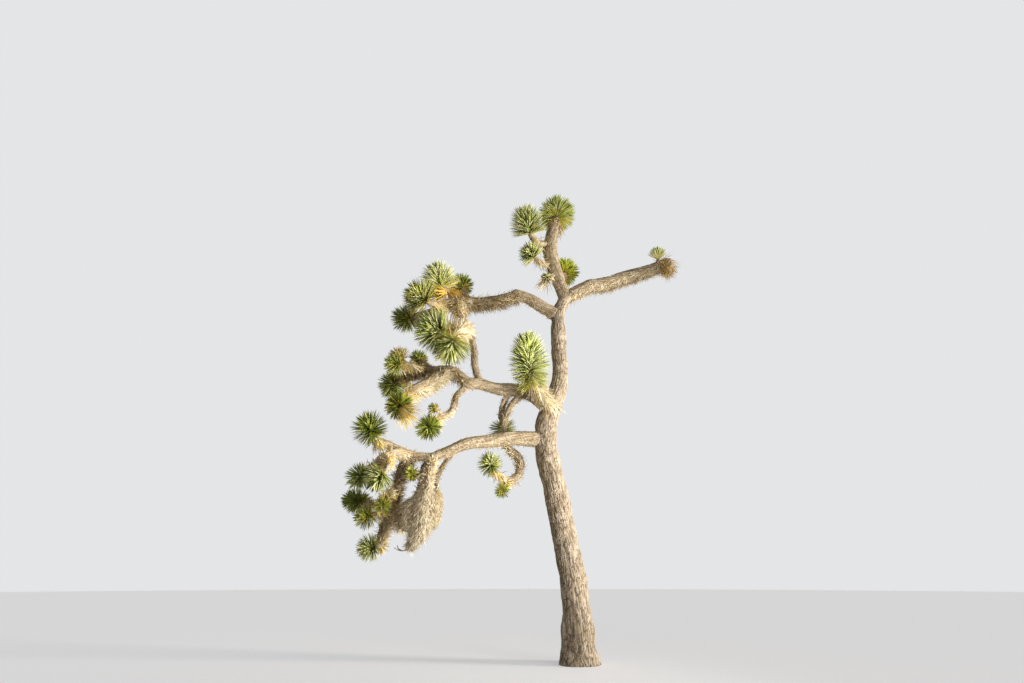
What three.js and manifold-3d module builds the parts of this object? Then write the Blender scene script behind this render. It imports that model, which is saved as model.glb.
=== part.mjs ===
// A joshua tree about 7 m high: a leaning trunk, three heavy boughs that reach to one side and weep,
// a crown stem and one bough to the other side, and a rosette of dagger-shaped leaves at the tip of
// every limb, some of them over a skirt of dead leaves.
// Millimetres, +Z up, ground level at Z = 0, with the origin in the middle of the trunk's flat cut.
import * as THREE from "three";
import { mergeVertices } from "three/addons/utils/BufferGeometryUtils.js";
import Module from "manifold-3d";

const wasm = await Module();
wasm.setup();

// Driving dimensions
const CLEARANCE = 0.3; // gap between a limb and what grows on it
const FLARE = 60; // how much wider the trunk's foot is at the ground
const FLARE_HEIGHT = 210; // over which the foot's flare dies away
const COLLAR = 0.2; // how much a limb swells where it leaves its parent, as a share of its radius
const TRUNK_SIDES = 14;
const BOUGH_SIDES = 8;
const BOUGH_STEP = 200; // length of limb between two rings of corners
const STEM_SIDES = 7;
const STEM_STEP = 130;
const CORE_SHARE = 0.72; // radius of a rosette's dense middle, as a share of its leaves' reach
const COLLAR_OF_DEAD = 0.55; // how much wider a stem is under its rosette than at its root
const LEAF_WIDTH = 64; // at its root, half way out of the dense middle
const LEAF_THICKNESS = 16;
const GOLDEN_ANGLE = Math.PI * (3 - Math.sqrt(5));
const LOWEST_LEAN = 122; // degrees between the lowest green leaf and the stem's direction
const HANGING_LEAN = THREE.MathUtils.degToRad(40); // how far the hanging leaves of a rosette stray
const DEAD_LEAN = THREE.MathUtils.degToRad(138); // of a dead leaf, folded back along its stem
const SKIRT_LEAN = THREE.MathUtils.degToRad(75); // of a dead leaf on a skirt
const SAG = 0.8; // how far a dead leaf turns towards the ground
const FIRST_ACROSS = [0.31, 0.95, 0.07]; // where the first ring of corners starts to turn

const BARK = { color: 0x8f8272, roughness: 0.95, metalness: 0 };
const GREEN = { color: 0x7f9152, roughness: 0.6, metalness: 0 };
const STRAW = { color: 0xb5a283, roughness: 0.9, metalness: 0 };

// The wood. Each limb grows on another, at a share of that limb's length, passes the points of its
// way, and takes its radii evenly along it.
const LIMBS = {
  trunk: {
    way: [[0, 0, 0], [-10, 0, 420], [-50, 0, 930], [-130, 0, 1430], [-210, 0, 1900], [-290, 0, 2340],
      [-280, 0, 2680], [-200, 0, 2950]],
    radius: [170, 160, 148, 144, 142],
  },
  upper_trunk: {
    on: ["trunk", 0.985],
    way: [[-90, 0, 3250], [-70, 0, 3600], [-70, 0, 4020], [-60, 0, 4330], [70, 0, 4670]],
    radius: [128, 110, 102, 92],
  },

  // The lowest bough, which weeps nearly to the ground
  low_bough: {
    on: ["trunk", 0.84],
    way: [[-710, -50, 2470], [-1030, -100, 2420], [-1310, -150, 2370], [-1550, -180, 2260],
      [-1770, -200, 2160]],
    radius: [98, 84, 62],
  },
  low_bough_arm: {
    on: ["low_bough", 0.985],
    way: [[-1970, -220, 2190], [-2130, -270, 2240], [-2270, -340, 2290], [-2390, -420, 2310]],
    radius: [55, 49],
  },
  skirt_bough: {
    on: ["low_bough", 0.97],
    way: [[-1750, -250, 1970], [-1760, -300, 1770]],
    radius: [60, 62],
  },
  thin_spur: {
    on: ["low_bough", 0.76],
    way: [[-1580, -50, 2160], [-1670, 0, 1990], [-1670, -50, 1790]],
    radius: [32, 30],
  },
  arched_spur: {
    on: ["low_bough_arm", 0.42],
    way: [[-2140, -450, 2170], [-2240, -650, 2070], [-2320, -750, 1940]],
    radius: [50, 46],
  },
  drooping_bough: {
    on: ["low_bough_arm", 0.37],
    way: [[-2110, -60, 2060], [-2160, 70, 1865], [-2185, 130, 1670]],
    radius: [62, 60],
  },
  drooping_end: {
    on: ["drooping_bough", 0.96],
    way: [[-2250, 150, 1475], [-2290, 100, 1310], [-2288, 0, 1182]],
    radius: [50, 70, 66, 42],
  },
  inner_drooping_bough: {
    on: ["low_bough", 0.985],
    way: [[-1853, 50, 2073], [-1880, 200, 1914], [-1960, 280, 1717]],
    radius: [50, 48],
  },

  // The middle bough, over it
  middle_bough: {
    on: ["trunk", 0.985],
    way: [[-450, 100, 3130], [-690, 150, 3210], [-940, 150, 3220], [-1180, 100, 3270], [-1370, 0, 3240]],
    radius: [116, 104, 80, 78],
  },
  rising_spur: {
    on: ["middle_bough", 0.83],
    way: [[-1260, 150, 3540], [-1280, 150, 3780], [-1330, 100, 3990], [-1440, 0, 4130]],
    radius: [50, 43],
  },
  middle_arm: {
    on: ["middle_bough", 0.98],
    way: [[-1570, -50, 3390], [-1760, -30, 3390], [-2020, 100, 3420], [-2240, 250, 3430]],
    radius: [75, 57],
  },
  middle_front_arm: {
    on: ["middle_arm", 0.3],
    way: [[-1862, -200, 3134], [-2032, -400, 2959]],
    radius: [66, 88, 60],
  },
  middle_hanging_spur: {
    on: ["middle_bough", 0.96],
    way: [[-1495, 0, 3050], [-1515, -50, 2890], [-1580, -150, 2740], [-1670, -250, 2690]],
    radius: [38, 46, 40],
  },
  hanging_spur: {
    on: ["middle_bough", 0.5],
    way: [[-850, 220, 3030], [-880, 300, 2850]],
    radius: [46, 38],
  },
  hooked_bough: {
    on: ["middle_bough", 0.35],
    way: [[-750, 150, 2980], [-830, 180, 2760], [-850, 200, 2540]],
    radius: [44, 38],
  },
  hook_bend: {
    on: ["hooked_bough", 0.96],
    way: [[-770, 220, 2390], [-650, 200, 2290], [-620, 150, 2150]],
    radius: [40, 58, 56],
  },
  hook_end: {
    on: ["hook_bend", 0.95],
    way: [[-650, 120, 2050], [-700, 80, 1990], [-810, 10, 1940]],
    radius: [54, 42],
  },

  // The left bough, which rises to a knee and then runs level
  left_bough: {
    on: ["upper_trunk", 0.8],
    way: [[-310, 0, 4490], [-500, 0, 4610], [-700, 0, 4670]],
    radius: [92, 82],
  },
  left_bough_arm: {
    on: ["left_bough", 0.96],
    way: [[-920, 0, 4560], [-1190, 50, 4540], [-1400, 50, 4510], [-1590, 0, 4510], [-1750, -50, 4420]],
    radius: [82, 90, 88, 66],
  },

  // The crown stem and the bough to the right
  crown_stem: {
    on: ["upper_trunk", 0.985],
    way: [[-10, 0, 4890], [-90, 0, 5180], [-140, 0, 5480], [-110, 20, 5780], [-50, 50, 6050]],
    radius: [94, 106, 112, 88],
  },
  right_bough: {
    on: ["upper_trunk", 0.985],
    way: [[270, 20, 4790], [470, 50, 4910], [730, 80, 4970], [1000, 100, 5100], [1310, 100, 5210],
      [1550, 80, 5310], [1700, 50, 5390]],
    radius: [90, 106, 108, 108, 84],
  },
};

// The rosettes. The stem of each grows on a limb as a limb does, and ends in the middle of a ball of
// green leaves with the given reach, or of a column of them that runs back along the stem. Where
// lowest is given, the green leaves lean out no further than that. Dead leaves are folded back under
// the green ones, and on some rosettes others hang from the middle towards one side.
const ROSETTES = {
  rosette_front: { on: ["trunk", 0.97],
    way: [[-270, -160, 2930], [-400, -270, 3040], [-500, -340, 3150], [-565, -420, 3580]],
    stem: 78, reach: 285, column: 360, leaves: 44, dead: 6 },

  rosette_top: { on: ["crown_stem", 0.98], way: [[30, 150, 6390]],
    stem: 80, reach: 325, leaves: 26, dead: 5 },
  rosette_top_left: { on: ["crown_stem", 0.7],
    way: [[-360, -160, 5540], [-492, -280, 5618], [-543, -380, 5744]],
    stem: 56, reach: 300, column: 100, lowest: 84, leaves: 28, dead: 2 },
  rosette_top_low: { on: ["crown_stem", 0.45],
    way: [[-250, -110, 5170], [-400, -210, 5190], [-468, -250, 5240]],
    stem: 46, reach: 220, lowest: 88, leaves: 13, dead: 2 },
  rosette_top_stub: { on: ["crown_stem", 0.3], way: [[-205, -190, 4880], [-262, -300, 4800]],
    stem: 40, reach: 90, leaves: 8, dead: 4,
    hanging: { leaves: 4, reach: 260, to: [-0.3, -0.1, -1] } },
  rosette_top_back: { on: ["crown_stem", 0.17], way: [[70, 200, 5140], [160, 400, 5390]],
    stem: 52, reach: 250, leaves: 18, dead: 3 },

  rosette_right: { on: ["right_bough", 0.93], way: [[1590, 0, 5390], [1585, -20, 5465]],
    stem: 44, reach: 170, lowest: 50, leaves: 10, dead: 0 },

  rosette_left_top: { on: ["left_bough_arm", 0.72],
    way: [[-1650, -10, 4650], [-1770, -60, 4700], [-1835, -120, 4835]],
    stem: 58, reach: 290, column: 60, lowest: 90, leaves: 26, dead: 7,
    hanging: { leaves: 9, reach: 370, at: 0.52, to: [-0.95, -0.3, -0.42] } },
  rosette_left_outer: { on: ["left_bough_arm", 0.98], way: [[-1930, -200, 4355], [-2030, -280, 4395]],
    stem: 52, reach: 295, lowest: 80, leaves: 18, dead: 3 },
  rosette_left_far: { on: ["left_bough_arm", 0.96], way: [[-2000, 250, 4450], [-2340, 420, 4430]],
    stem: 54, reach: 250, leaves: 18, dead: 3 },
  rosette_left_back: { on: ["left_bough_arm", 0.6], way: [[-1460, 300, 4830], [-1520, 420, 5070]],
    stem: 50, reach: 205, leaves: 14, dead: 3 },
  rosette_left_middle: { on: ["rising_spur", 0.97],
    way: [[-1550, -190, 3990], [-1675, -410, 3800], [-1785, -450, 3800]],
    stem: 54, reach: 325, lowest: 84, leaves: 23, dead: 8 },
  rosette_left_low: { on: ["rising_spur", 0.88],
    way: [[-1450, -280, 3950], [-1528, -460, 3775], [-1580, -440, 3605]],
    stem: 54, reach: 310, lowest: 84, leaves: 22, dead: 3 },

  rosette_mid_upper: { on: ["middle_arm", 0.62], way: [[-2110, -190, 3400], [-2290, -240, 3385]],
    stem: 40, reach: 185, lowest: 86, leaves: 15, dead: 4 },
  tuft_dry: { on: ["middle_arm", 0.7], way: [[-2170, -60, 3440], [-2270, -180, 3515]],
    stem: 26, reach: 165, lowest: 85, leaves: 9, dead: 6 },
  rosette_mid_back: { on: ["middle_arm", 0.48], way: [[-1970, 320, 3620], [-2100, 450, 3770]],
    stem: 46, reach: 155, leaves: 13, dead: 3 },
  rosette_mid_outer: { on: ["middle_arm", 0.98], way: [[-2420, 380, 3330]],
    stem: 50, reach: 230, leaves: 16, dead: 3 },
  rosette_mid_front: { on: ["middle_front_arm", 0.97], way: [[-2141, -600, 2693]],
    stem: 48, reach: 188, leaves: 16, dead: 7,
    hanging: { leaves: 9, reach: 330, to: [0.9, -0.3, -1] } },
  rosette_mid_hanging: { on: ["middle_hanging_spur", 0.97], way: [[-1790, -420, 2490]],
    stem: 36, reach: 178, leaves: 15, dead: 3 },
  tuft_mid: { on: ["middle_hanging_spur", 0.9], way: [[-1755, -335, 2755]],
    stem: 24, reach: 85, lowest: 90, leaves: 8, dead: 0 },

  rosette_low_outer: { on: ["low_bough_arm", 0.97], way: [[-2470, -520, 2440]],
    stem: 46, reach: 225, leaves: 18, dead: 3 },
  rosette_arch_end: { on: ["arched_spur", 0.96], way: [[-2440, -860, 1810]],
    stem: 38, reach: 160, leaves: 13, dead: 3 },
  rosette_arch_front: { on: ["arched_spur", 0.68], way: [[-2135, -940, 1890], [-2207, -980, 1795]],
    stem: 38, reach: 180, lowest: 80, leaves: 14, dead: 0 },
  rosette_droop_front: { on: ["drooping_bough", 0.78], way: [[-2250, -110, 1760], [-2266, -250, 1600]],
    stem: 36, reach: 125, leaves: 10, dead: 8 },
  rosette_droop_outer: { on: ["drooping_bough", 0.93], way: [[-2490, 300, 1680], [-2770, 430, 1750]],
    stem: 46, reach: 170, column: 120, leaves: 16, dead: 3 },
  rosette_droop_low: { on: ["drooping_end", 0.2], way: [[-2380, -60, 1530], [-2470, -105, 1497]],
    stem: 36, reach: 165, lowest: 95, leaves: 12, dead: 2 },
  rosette_lowest: { on: ["drooping_end", 0.97], way: [[-2315, -50, 1170], [-2388, -85, 1160]],
    stem: 34, reach: 170, lowest: 95, leaves: 12, dead: 2 },
  tuft_inner: { on: ["inner_drooping_bough", 0.45], way: [[-1970, -110, 1930], [-1970, -220, 1980]],
    stem: 26, reach: 105, leaves: 8, dead: 0 },

  rosette_hanging: { on: ["hanging_spur", 0.97], way: [[-840, 400, 2680]],
    stem: 36, reach: 220, leaves: 17, dead: 0 },
  rosette_hook: { on: ["hook_end", 0.95], way: [[-930, -90, 2010], [-1030, -150, 2120]],
    stem: 38, reach: 175, leaves: 14, dead: 2 },
  tuft_hook: { on: ["hook_end", 0.93], way: [[-870, -40, 1820]],
    stem: 32, reach: 110, leaves: 8, dead: 2 },
};

// The skirts of dead leaves, which hang from a limb. Their radii are taken evenly along them.
const SKIRTS = {
  skirt_right: { on: ["right_bough", 0.955], way: [[1735, 0, 5370], [1715, -20, 5250], [1675, -30, 5130]],
    reach: 110, leaves: 16, radius: [70, 98, 108, 95, 70, 34] },
  skirt_left: { on: ["left_bough_arm", 0.8], way: [[-1500, -25, 4410], [-1490, -50, 4250]],
    reach: 85, leaves: 12, radius: [62, 110, 125, 100, 45] },
  skirt_inner: { on: ["inner_drooping_bough", 0.96], way: [[-2100, 270, 1510], [-2030, 220, 1400]],
    reach: 80, leaves: 14, radius: [60, 120, 145, 130, 60] },
  skirt_big: { on: ["skirt_bough", 0.96],
    way: [[-1800, -330, 1570], [-1815, -300, 1420], [-1845, -270, 1270], [-1935, -240, 1130]],
    reach: 85, leaves: 26, radius: [72, 126, 146, 150, 122, 58, 22] },
  skirt_back: { on: ["thin_spur", 0.96], way: [[-1680, -80, 1550], [-1700, -130, 1370]],
    reach: 70, leaves: 12, radius: [38, 75, 85, 70, 30] },
};

// A small seeded generator, so that every run grows the same tree.
function seeded(seed) {
  let state = seed >>> 0;
  return () => {
    state = (state + 0x6d2b79f5) >>> 0;
    let t = state;
    t = Math.imul(t ^ (t >>> 15), t | 1);
    t ^= t + Math.imul(t ^ (t >>> 7), t | 61);
    return ((t ^ (t >>> 14)) >>> 0) / 4294967296;
  };
}

const lines = new Map(); // the centre line of each limb, rosette and skirt by name

// The centre line from its place on its parent through its way.
function centreLine({ on, way }) {
  const points = way.map((p) => new THREE.Vector3(...p));
  if (on) points.unshift(lines.get(on[0]).getPointAt(on[1]));
  if (points.length < 3) points.splice(1, 0, points[0].clone().lerp(points[1], 0.5));
  return new THREE.CatmullRomCurve3(points);
}

// The place on a line at a distance from its root, which may lie before or past its ends.
function placeAt(line, distance) {
  const length = line.getLength();
  const within = THREE.MathUtils.clamp(distance, 0, length);
  const tangent = line.getTangentAt(within / length);
  return { point: line.getPointAt(within / length).addScaledVector(tangent, distance - within), tangent };
}

// A closed tube along a line, with a ring of corners at each station {at, radius}, wider and longer
// at both ends by extra. The rings turn as little as they can from one to the next.
function tubeSolid(line, stations, sides, extra = 0) {
  const last = stations.length - 1;
  const tube = new THREE.CylinderGeometry(1, 1, 1, sides, last);
  const across = new THREE.Vector3(...FIRST_ACROSS);
  const rings = stations.map(({ at, radius }, i) => {
    const past = i === 0 ? -extra : i === last ? extra : 0;
    const { point, tangent } = placeAt(line, at + past);
    across.addScaledVector(tangent, -across.dot(tangent)).normalize();
    return { point, across: across.clone(), along: tangent.clone().cross(across), radius: radius + extra };
  });
  const corner = tube.getAttribute("position");
  const p = new THREE.Vector3();
  for (let i = 0; i < corner.count; i++) {
    p.fromBufferAttribute(corner, i);
    const ring = rings[Math.round((p.y + 0.5) * last)];
    const place = ring.point.clone().addScaledVector(ring.across, -p.x * ring.radius);
    place.addScaledVector(ring.along, p.z * ring.radius);
    corner.setXYZ(i, place.x, place.y, place.z);
  }
  return solidOf(tube);
}

function solidOf(geometry) {
  const bare = geometry.clone();
  bare.deleteAttribute("normal");
  bare.deleteAttribute("uv");
  const merged = mergeVertices(bare, 1e-3);
  return new wasm.Manifold(
    new wasm.Mesh({
      numProp: 3,
      vertProperties: merged.getAttribute("position").array,
      triVerts: new Uint32Array(merged.index.array),
    }),
  );
}

function largestPiece(solid) {
  return solid.decompose().sort((a, b) => b.volume() - a.volume())[0];
}

// A value that passes evenly through a list as share goes from 0 to 1.
function evenly(list, share) {
  const at = THREE.MathUtils.clamp(share, 0, 1) * (list.length - 1);
  const i = Math.min(Math.floor(at), list.length - 2);
  return THREE.MathUtils.lerp(list[i], list[i + 1], at - i);
}

// The stations of a limb, which swells where it leaves its parent, or at the trunk's foot.
function limbStations({ on, radius }, length) {
  const [swell, fade] = !on ? [FLARE, FLARE_HEIGHT] : on[1] < 0.9 ? [COLLAR * radius[0], radius[0]] : [0, 1];
  const count = Math.max(3, Math.round(length / BOUGH_STEP));
  const at = Array.from({ length: count + 1 }, (_, i) => (i / count) * length);
  if (!on) at.splice(0, 1, -FLARE_HEIGHT * 0.4, FLARE_HEIGHT * 0.2, FLARE_HEIGHT * 0.7);
  return at.map((a) => ({ at: a, radius: evenly(radius, a / length) + swell * Math.exp(-a / fade) }));
}

function skirtStations({ radius }, length) {
  const count = Math.max(4, Math.round(length / STEM_STEP));
  return Array.from({ length: count + 1 }, (_, i) => ({
    at: (i / count) * length,
    radius: evenly(radius, i / count),
  }));
}

// The stations of a rosette: its bare stem, then the dense middle of its leaves, which widens soon,
// runs on for the column's length and is rounded off past the stem's tip.
function rosetteStations({ stem, reach, column = 0 }, length) {
  const core = reach * CORE_SHARE;
  const foot = Math.max(40, length - column - core * 0.75);
  const stems = Math.max(1, Math.round(foot / STEM_STEP));
  const columns = Math.round(column / STEM_STEP);
  return [
    ...Array.from({ length: stems + 1 }, (_, i) => ({
      at: (i / stems) * foot,
      radius: Math.min(stem * (1 + (COLLAR_OF_DEAD * i) / stems), core * 0.8),
    })),
    ...Array.from({ length: columns + 1 }, (_, i) => ({
      at: Math.max(foot + 15, length - column - core * 0.2) + (i / Math.max(1, columns)) * column,
      radius: core * 0.97,
    })),
    { at: length + core * 0.4, radius: core * 0.88 },
    { at: length + core * 0.8, radius: core * 0.56 },
    { at: length + core, radius: core * 0.2 },
  ];
}

// The flat cut at the ground: whatever reaches below it is taken off.
const below = new THREE.BoxGeometry(2000, 2000, 1000).translate(0, 0, -500);

// Whatever has been grown already, a little fat, which the next piece is cut clear of.
const grown = [];

function boxesMeet(a, b) {
  return a.min.every((low, i) => low <= b.max[i] && b.min[i] <= a.max[i]);
}

function cutClear(solid) {
  const near = grown.filter((other) => boxesMeet(solid.boundingBox(), other.boundingBox()));
  return largestPiece(near.reduce((rest, other) => rest.subtract(other), solid));
}

// A leaf's root, direction and length at a distance along a line, turned about it and leaning from
// it, and how much of the length is inside the dense middle.
function leafAt(line, distance, turn, lean, size, sag, inside) {
  const { point, tangent } = placeAt(line, distance);
  const outward = new THREE.Vector3(...FIRST_ACROSS).cross(tangent).normalize();
  outward.applyAxisAngle(tangent, turn);
  const direction = tangent.clone().multiplyScalar(Math.cos(lean)).addScaledVector(outward, Math.sin(lean));
  direction.z -= sag;
  return { root: point, direction: direction.normalize(), outward, length: size, inside };
}

function seedOf(name) {
  return [...name].reduce((sum, c) => (sum * 31 + c.charCodeAt(0)) % 1e9, 7);
}

// The leaves that hang from the middle of a rosette, or from a share of its stem, towards one side.
function hangingLeaves({ leaves, reach, to, at = 1 }, line, inside) {
  const middle = line.getPointAt(at);
  const middleLine = new THREE.LineCurve3(middle, middle.clone().add(new THREE.Vector3(...to)));
  return Array.from({ length: leaves }, (_, i) =>
    leafAt(middleLine, 0, i * GOLDEN_ANGLE, HANGING_LEAN, reach, 0, inside),
  );
}

// The leaves of a rosette: a spiral of green ones that lean out more and more from the tip
// backwards, dead ones under them that are folded back and sag, and those that hang.
function rosetteLeaves(name, rosette, line) {
  const { stem, reach, leaves, dead, lowest = LOWEST_LEAN, hanging, column = 0 } = rosette;
  const random = seeded(seedOf(name));
  const length = line.getLength();
  const core = reach * CORE_SHARE;
  const foot = length - column - core;
  const most = THREE.MathUtils.degToRad(lowest);
  const spiral = Array.from({ length: leaves + dead }, (_, i) => {
    const turn = i * GOLDEN_ANGLE + 0.4 * random();
    const size = reach * (0.93 + 0.12 * random());
    if (i >= leaves) {
      const back = foot * (0.95 - (0.6 * (i - leaves)) / dead);
      return leafAt(line, Math.max(20, back), turn, DEAD_LEAN, size * 0.8, SAG, stem);
    }
    const u = (i + 0.5) / leaves;
    const lean = Math.acos(1 - u * (1 - Math.cos(most)));
    return leafAt(line, length - u * column, turn, lean, size, 0, core);
  });
  return hanging ? [...spiral, ...hangingLeaves(hanging, line, core)] : spiral;
}

// The leaves of a skirt: all dead, all hanging, from its root to its tip.
function skirtLeaves(name, { reach, leaves, radius }, line) {
  const random = seeded(seedOf(name));
  return Array.from({ length: leaves }, (_, i) => {
    const share = 0.12 + (0.88 * (i + 0.5)) / leaves;
    const inside = evenly(radius, share);
    const size = inside + reach * (0.7 + 0.5 * random());
    const turn = i * GOLDEN_ANGLE + random();
    return leafAt(line, share * line.getLength(), turn, SKIRT_LEAN, size, SAG, inside);
  });
}

// A leaf: a three-sided spike, flattened, with its root half way out of the dense middle.
function leafSolid({ root, direction, outward, length, inside }) {
  const flat = direction.clone().cross(outward);
  if (flat.length() < 0.05) flat.copy(direction).cross(new THREE.Vector3(0.6, 0.8, 0));
  flat.normalize();
  const start = inside / 2;
  const frame = new THREE.Matrix4().makeBasis(
    flat.clone().multiplyScalar(LEAF_WIDTH / 2),
    direction.clone().multiplyScalar(length - start),
    flat.clone().cross(direction).multiplyScalar(LEAF_THICKNESS / 2),
  );
  frame.setPosition(root.clone().addScaledVector(direction, start));
  return solidOf(new THREE.ConeGeometry(1, 1, 3).translate(0, 0.5, 0).applyMatrix4(frame));
}

// Leaves keep clear of every limb, of the other rosettes' dense middles and of the leaves grown
// before them, all kept as rods {owner, a, b, radius}.
const rods = [];

function addRods(owner, line, stations) {
  for (let i = 1; i < stations.length; i++) {
    const [before, after] = [stations[i - 1], stations[i]];
    const steps = Math.max(1, Math.round((after.at - before.at) / 100));
    for (let k = 0; k < steps; k++) {
      const at = (share) => placeAt(line, THREE.MathUtils.lerp(before.at, after.at, share)).point;
      const radius = Math.max(before.radius, after.radius);
      rods.push({ owner, a: at(k / steps), b: at((k + 1) / steps), radius });
    }
  }
}

function rodDistance(a, b, c, d) {
  const [u, v, w] = [b.clone().sub(a), d.clone().sub(c), a.clone().sub(c)];
  const [uu, uv, vv, uw, vw] = [u.dot(u), u.dot(v), v.dot(v), u.dot(w), v.dot(w)];
  const across = uu * vv - uv * uv;
  let s = across > 1e-9 ? THREE.MathUtils.clamp((uv * vw - vv * uw) / across, 0, 1) : 0;
  const t = THREE.MathUtils.clamp((uv * s + vw) / vv, 0, 1);
  s = THREE.MathUtils.clamp((uv * t - uw) / uu, 0, 1);
  return a.clone().addScaledVector(u, s).distanceTo(c.clone().addScaledVector(v, t));
}

// The part of a leaf that stands out of its own rosette's middle, as a rod.
function leafRod(owner, { root, direction, length, inside }) {
  const a = root.clone().addScaledVector(direction, Math.min(inside, length * 0.8));
  return { owner, a, b: root.clone().addScaledVector(direction, length), radius: LEAF_WIDTH / 4 };
}

function isFree(rod) {
  return rods.every(
    (x) => x.owner === rod.owner || rodDistance(rod.a, rod.b, x.a, x.b) > x.radius + rod.radius + 3,
  );
}

function meshOf(name, solid, look, at) {
  const { vertProperties, triVerts } = solid.getMesh();
  const geometry = new THREE.BufferGeometry()
    .setAttribute("position", new THREE.BufferAttribute(vertProperties.slice(), 3))
    .setIndex(new THREE.BufferAttribute(triVerts.slice(), 1))
    .translate(-at.x, -at.y, -at.z);
  geometry.computeVertexNormals();
  const mesh = new THREE.Mesh(geometry, new THREE.MeshStandardMaterial(look));
  mesh.name = name;
  mesh.position.copy(at);
  return mesh;
}

const wood = new THREE.Group();
wood.name = "wood";
for (const [name, limb] of Object.entries(LIMBS)) {
  const line = centreLine(limb);
  const stations = limbStations(limb, line.getLength());
  const sides = name.endsWith("trunk") ? TRUNK_SIDES : BOUGH_SIDES;
  lines.set(name, line);
  addRods(name, line, stations);
  const tube = tubeSolid(line, stations, sides);
  const solid = cutClear(limb.on ? tube : tube.subtract(solidOf(below)));
  wood.add(meshOf(name, solid, BARK, line.getPointAt(0)));
  grown.push(tubeSolid(line, stations, sides, CLEARANCE));
}

const masses = [
  ...Object.entries(ROSETTES).map(([name, rosette]) => {
    const line = centreLine(rosette);
    const stations = rosetteStations(rosette, line.getLength());
    return { name, line, stations, look: GREEN, leaves: rosetteLeaves(name, rosette, line) };
  }),
  ...Object.entries(SKIRTS).map(([name, skirt]) => {
    const line = centreLine(skirt);
    const stations = skirtStations(skirt, line.getLength());
    return { name, line, stations, look: STRAW, leaves: skirtLeaves(name, skirt, line) };
  }),
];

const foliage = new THREE.Group();
foliage.name = "foliage";
for (const { name, line, stations } of masses) addRods(name, line, stations);
for (const { name, line, stations, look, leaves } of masses) {
  const free = leaves.filter((leaf) => isFree(leafRod(name, leaf)));
  for (const leaf of free) rods.push(leafRod(name, leaf));
  const core = cutClear(tubeSolid(line, stations, STEM_SIDES));
  const whole = free.reduce((sum, leaf) => sum.add(leafSolid(leaf)), core);
  foliage.add(meshOf(name, cutClear(whole), look, line.getPointAt(0)));
  grown.push(tubeSolid(line, stations, STEM_SIDES, CLEARANCE));
}

const joshuaTree = new THREE.Group();
joshuaTree.name = "joshua_tree";
joshuaTree.add(wood, foliage);

export default joshuaTree;
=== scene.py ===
"""A joshua tree about 6.7 m high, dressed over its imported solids.

The trunk and boughs get bark with real relief. Every rosette, tuft and skirt is grown again at the
place of its solid and by the same rule, with leaves near life size, dead leaves folded back on the
stems and a thatch of old leaves on the boughs. Metres, +Z up, ground level at Z = 0, with the
origin in the middle of the trunk's flat cut."""
import math

import bpy
import numpy as np
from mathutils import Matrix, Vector


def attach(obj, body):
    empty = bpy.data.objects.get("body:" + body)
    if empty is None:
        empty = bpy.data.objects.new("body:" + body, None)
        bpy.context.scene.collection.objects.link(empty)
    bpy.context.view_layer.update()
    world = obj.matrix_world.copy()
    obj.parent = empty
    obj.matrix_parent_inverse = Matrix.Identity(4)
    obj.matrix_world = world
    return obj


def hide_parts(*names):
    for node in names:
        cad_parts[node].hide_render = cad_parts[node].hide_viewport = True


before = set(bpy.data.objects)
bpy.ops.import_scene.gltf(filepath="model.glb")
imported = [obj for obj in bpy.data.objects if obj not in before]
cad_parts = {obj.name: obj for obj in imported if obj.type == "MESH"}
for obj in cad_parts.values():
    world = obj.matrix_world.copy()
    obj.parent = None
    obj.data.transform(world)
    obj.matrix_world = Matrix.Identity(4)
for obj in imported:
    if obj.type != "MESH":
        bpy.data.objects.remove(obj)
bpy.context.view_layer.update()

# The rule's driving dimensions, as in the part's source
FLARE = 0.06  # how much wider the trunk's foot is at the ground
FLARE_HEIGHT = 0.21  # over which the foot's flare dies away
COLLAR = 0.2  # how much a limb swells where it leaves its parent, as a share of its radius
CARRIES_ON = 0.9  # the share of its parent's length past which a limb carries its parent on
CORE_SHARE = 0.72  # radius of a rosette's dense middle, as a share of its leaves' reach
COLLAR_OF_DEAD = 0.55  # how much wider a stem is under its rosette than at its root
GOLDEN_ANGLE = math.pi * (3 - math.sqrt(5))
LOWEST_LEAN = 122  # degrees between the lowest green leaf and the stem's direction
HANGING_LEAN = math.radians(40)  # how far the hanging leaves of a rosette stray
DEAD_LEAN = math.radians(138)  # of a dead leaf, folded back along its stem
SAG = 0.8  # how far a dead leaf turns towards the ground
FIRST_ACROSS = np.array([0.31, 0.95, 0.07])  # where the first ring of corners starts to turn

# The green leaves
FULL_REACH = 0.3  # of a well grown rosette
FULL_COUNT = 470  # of its green leaves
COUNT_POWER = 1.5  # with which their number grows with the reach
LOOSE_TURN = 0.5  # how far a leaf may turn past its place in the spiral
LEAF_STRAY = 0.06  # how much its direction strays
LEAF_SIZES = (0.9, 1.08)  # from the shortest to the longest, as shares of the reach
TIP_SIZE = 0.76  # of the youngest leaves, as a share of the others,
TIP_AGE = 0.08  # and the age at which they have grown up
LEAF_WIDTH = 0.021
LEAF_WIDTHS = (0.85, 1.15)
WIDTH_BY_REACH = 0.3  # the share of a leaf's width that grows with the rosette's reach
LEAF_THICKNESS = 0.005
LEAF_FORM = ((0, 0.75), (0.3, 1), (0.76, 0.7))  # share of the length, and of the width there
LEAF_BOW = 0.05  # how far a tip may bow by chance, as a share of the leaf's length,
AGE_BOW = 0.06  # and how far by the leaf's age
ROOT_SPREAD = 0.3  # how far down the stem the oldest green leaves start, as a share of the reach
ROOT_DEPTH = 0.5  # where a leaf starts, as a share of the stem's radius
OLD_FROM = 0.88  # the age from which a green leaf may turn yellow,
OLD_STRAY = 0.12  # and how far that age strays
GREEN_SHARES = (0.4, 0.25, 0.15, 0.2)  # of the four tints of a rosette's leaves; the fourth is dark leaves of painted shade unless an inner tint is given
OLD_SHARES = (0.4, 0.25, 0.35)  # of the first, the third and yellowed, among the old ones

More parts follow.
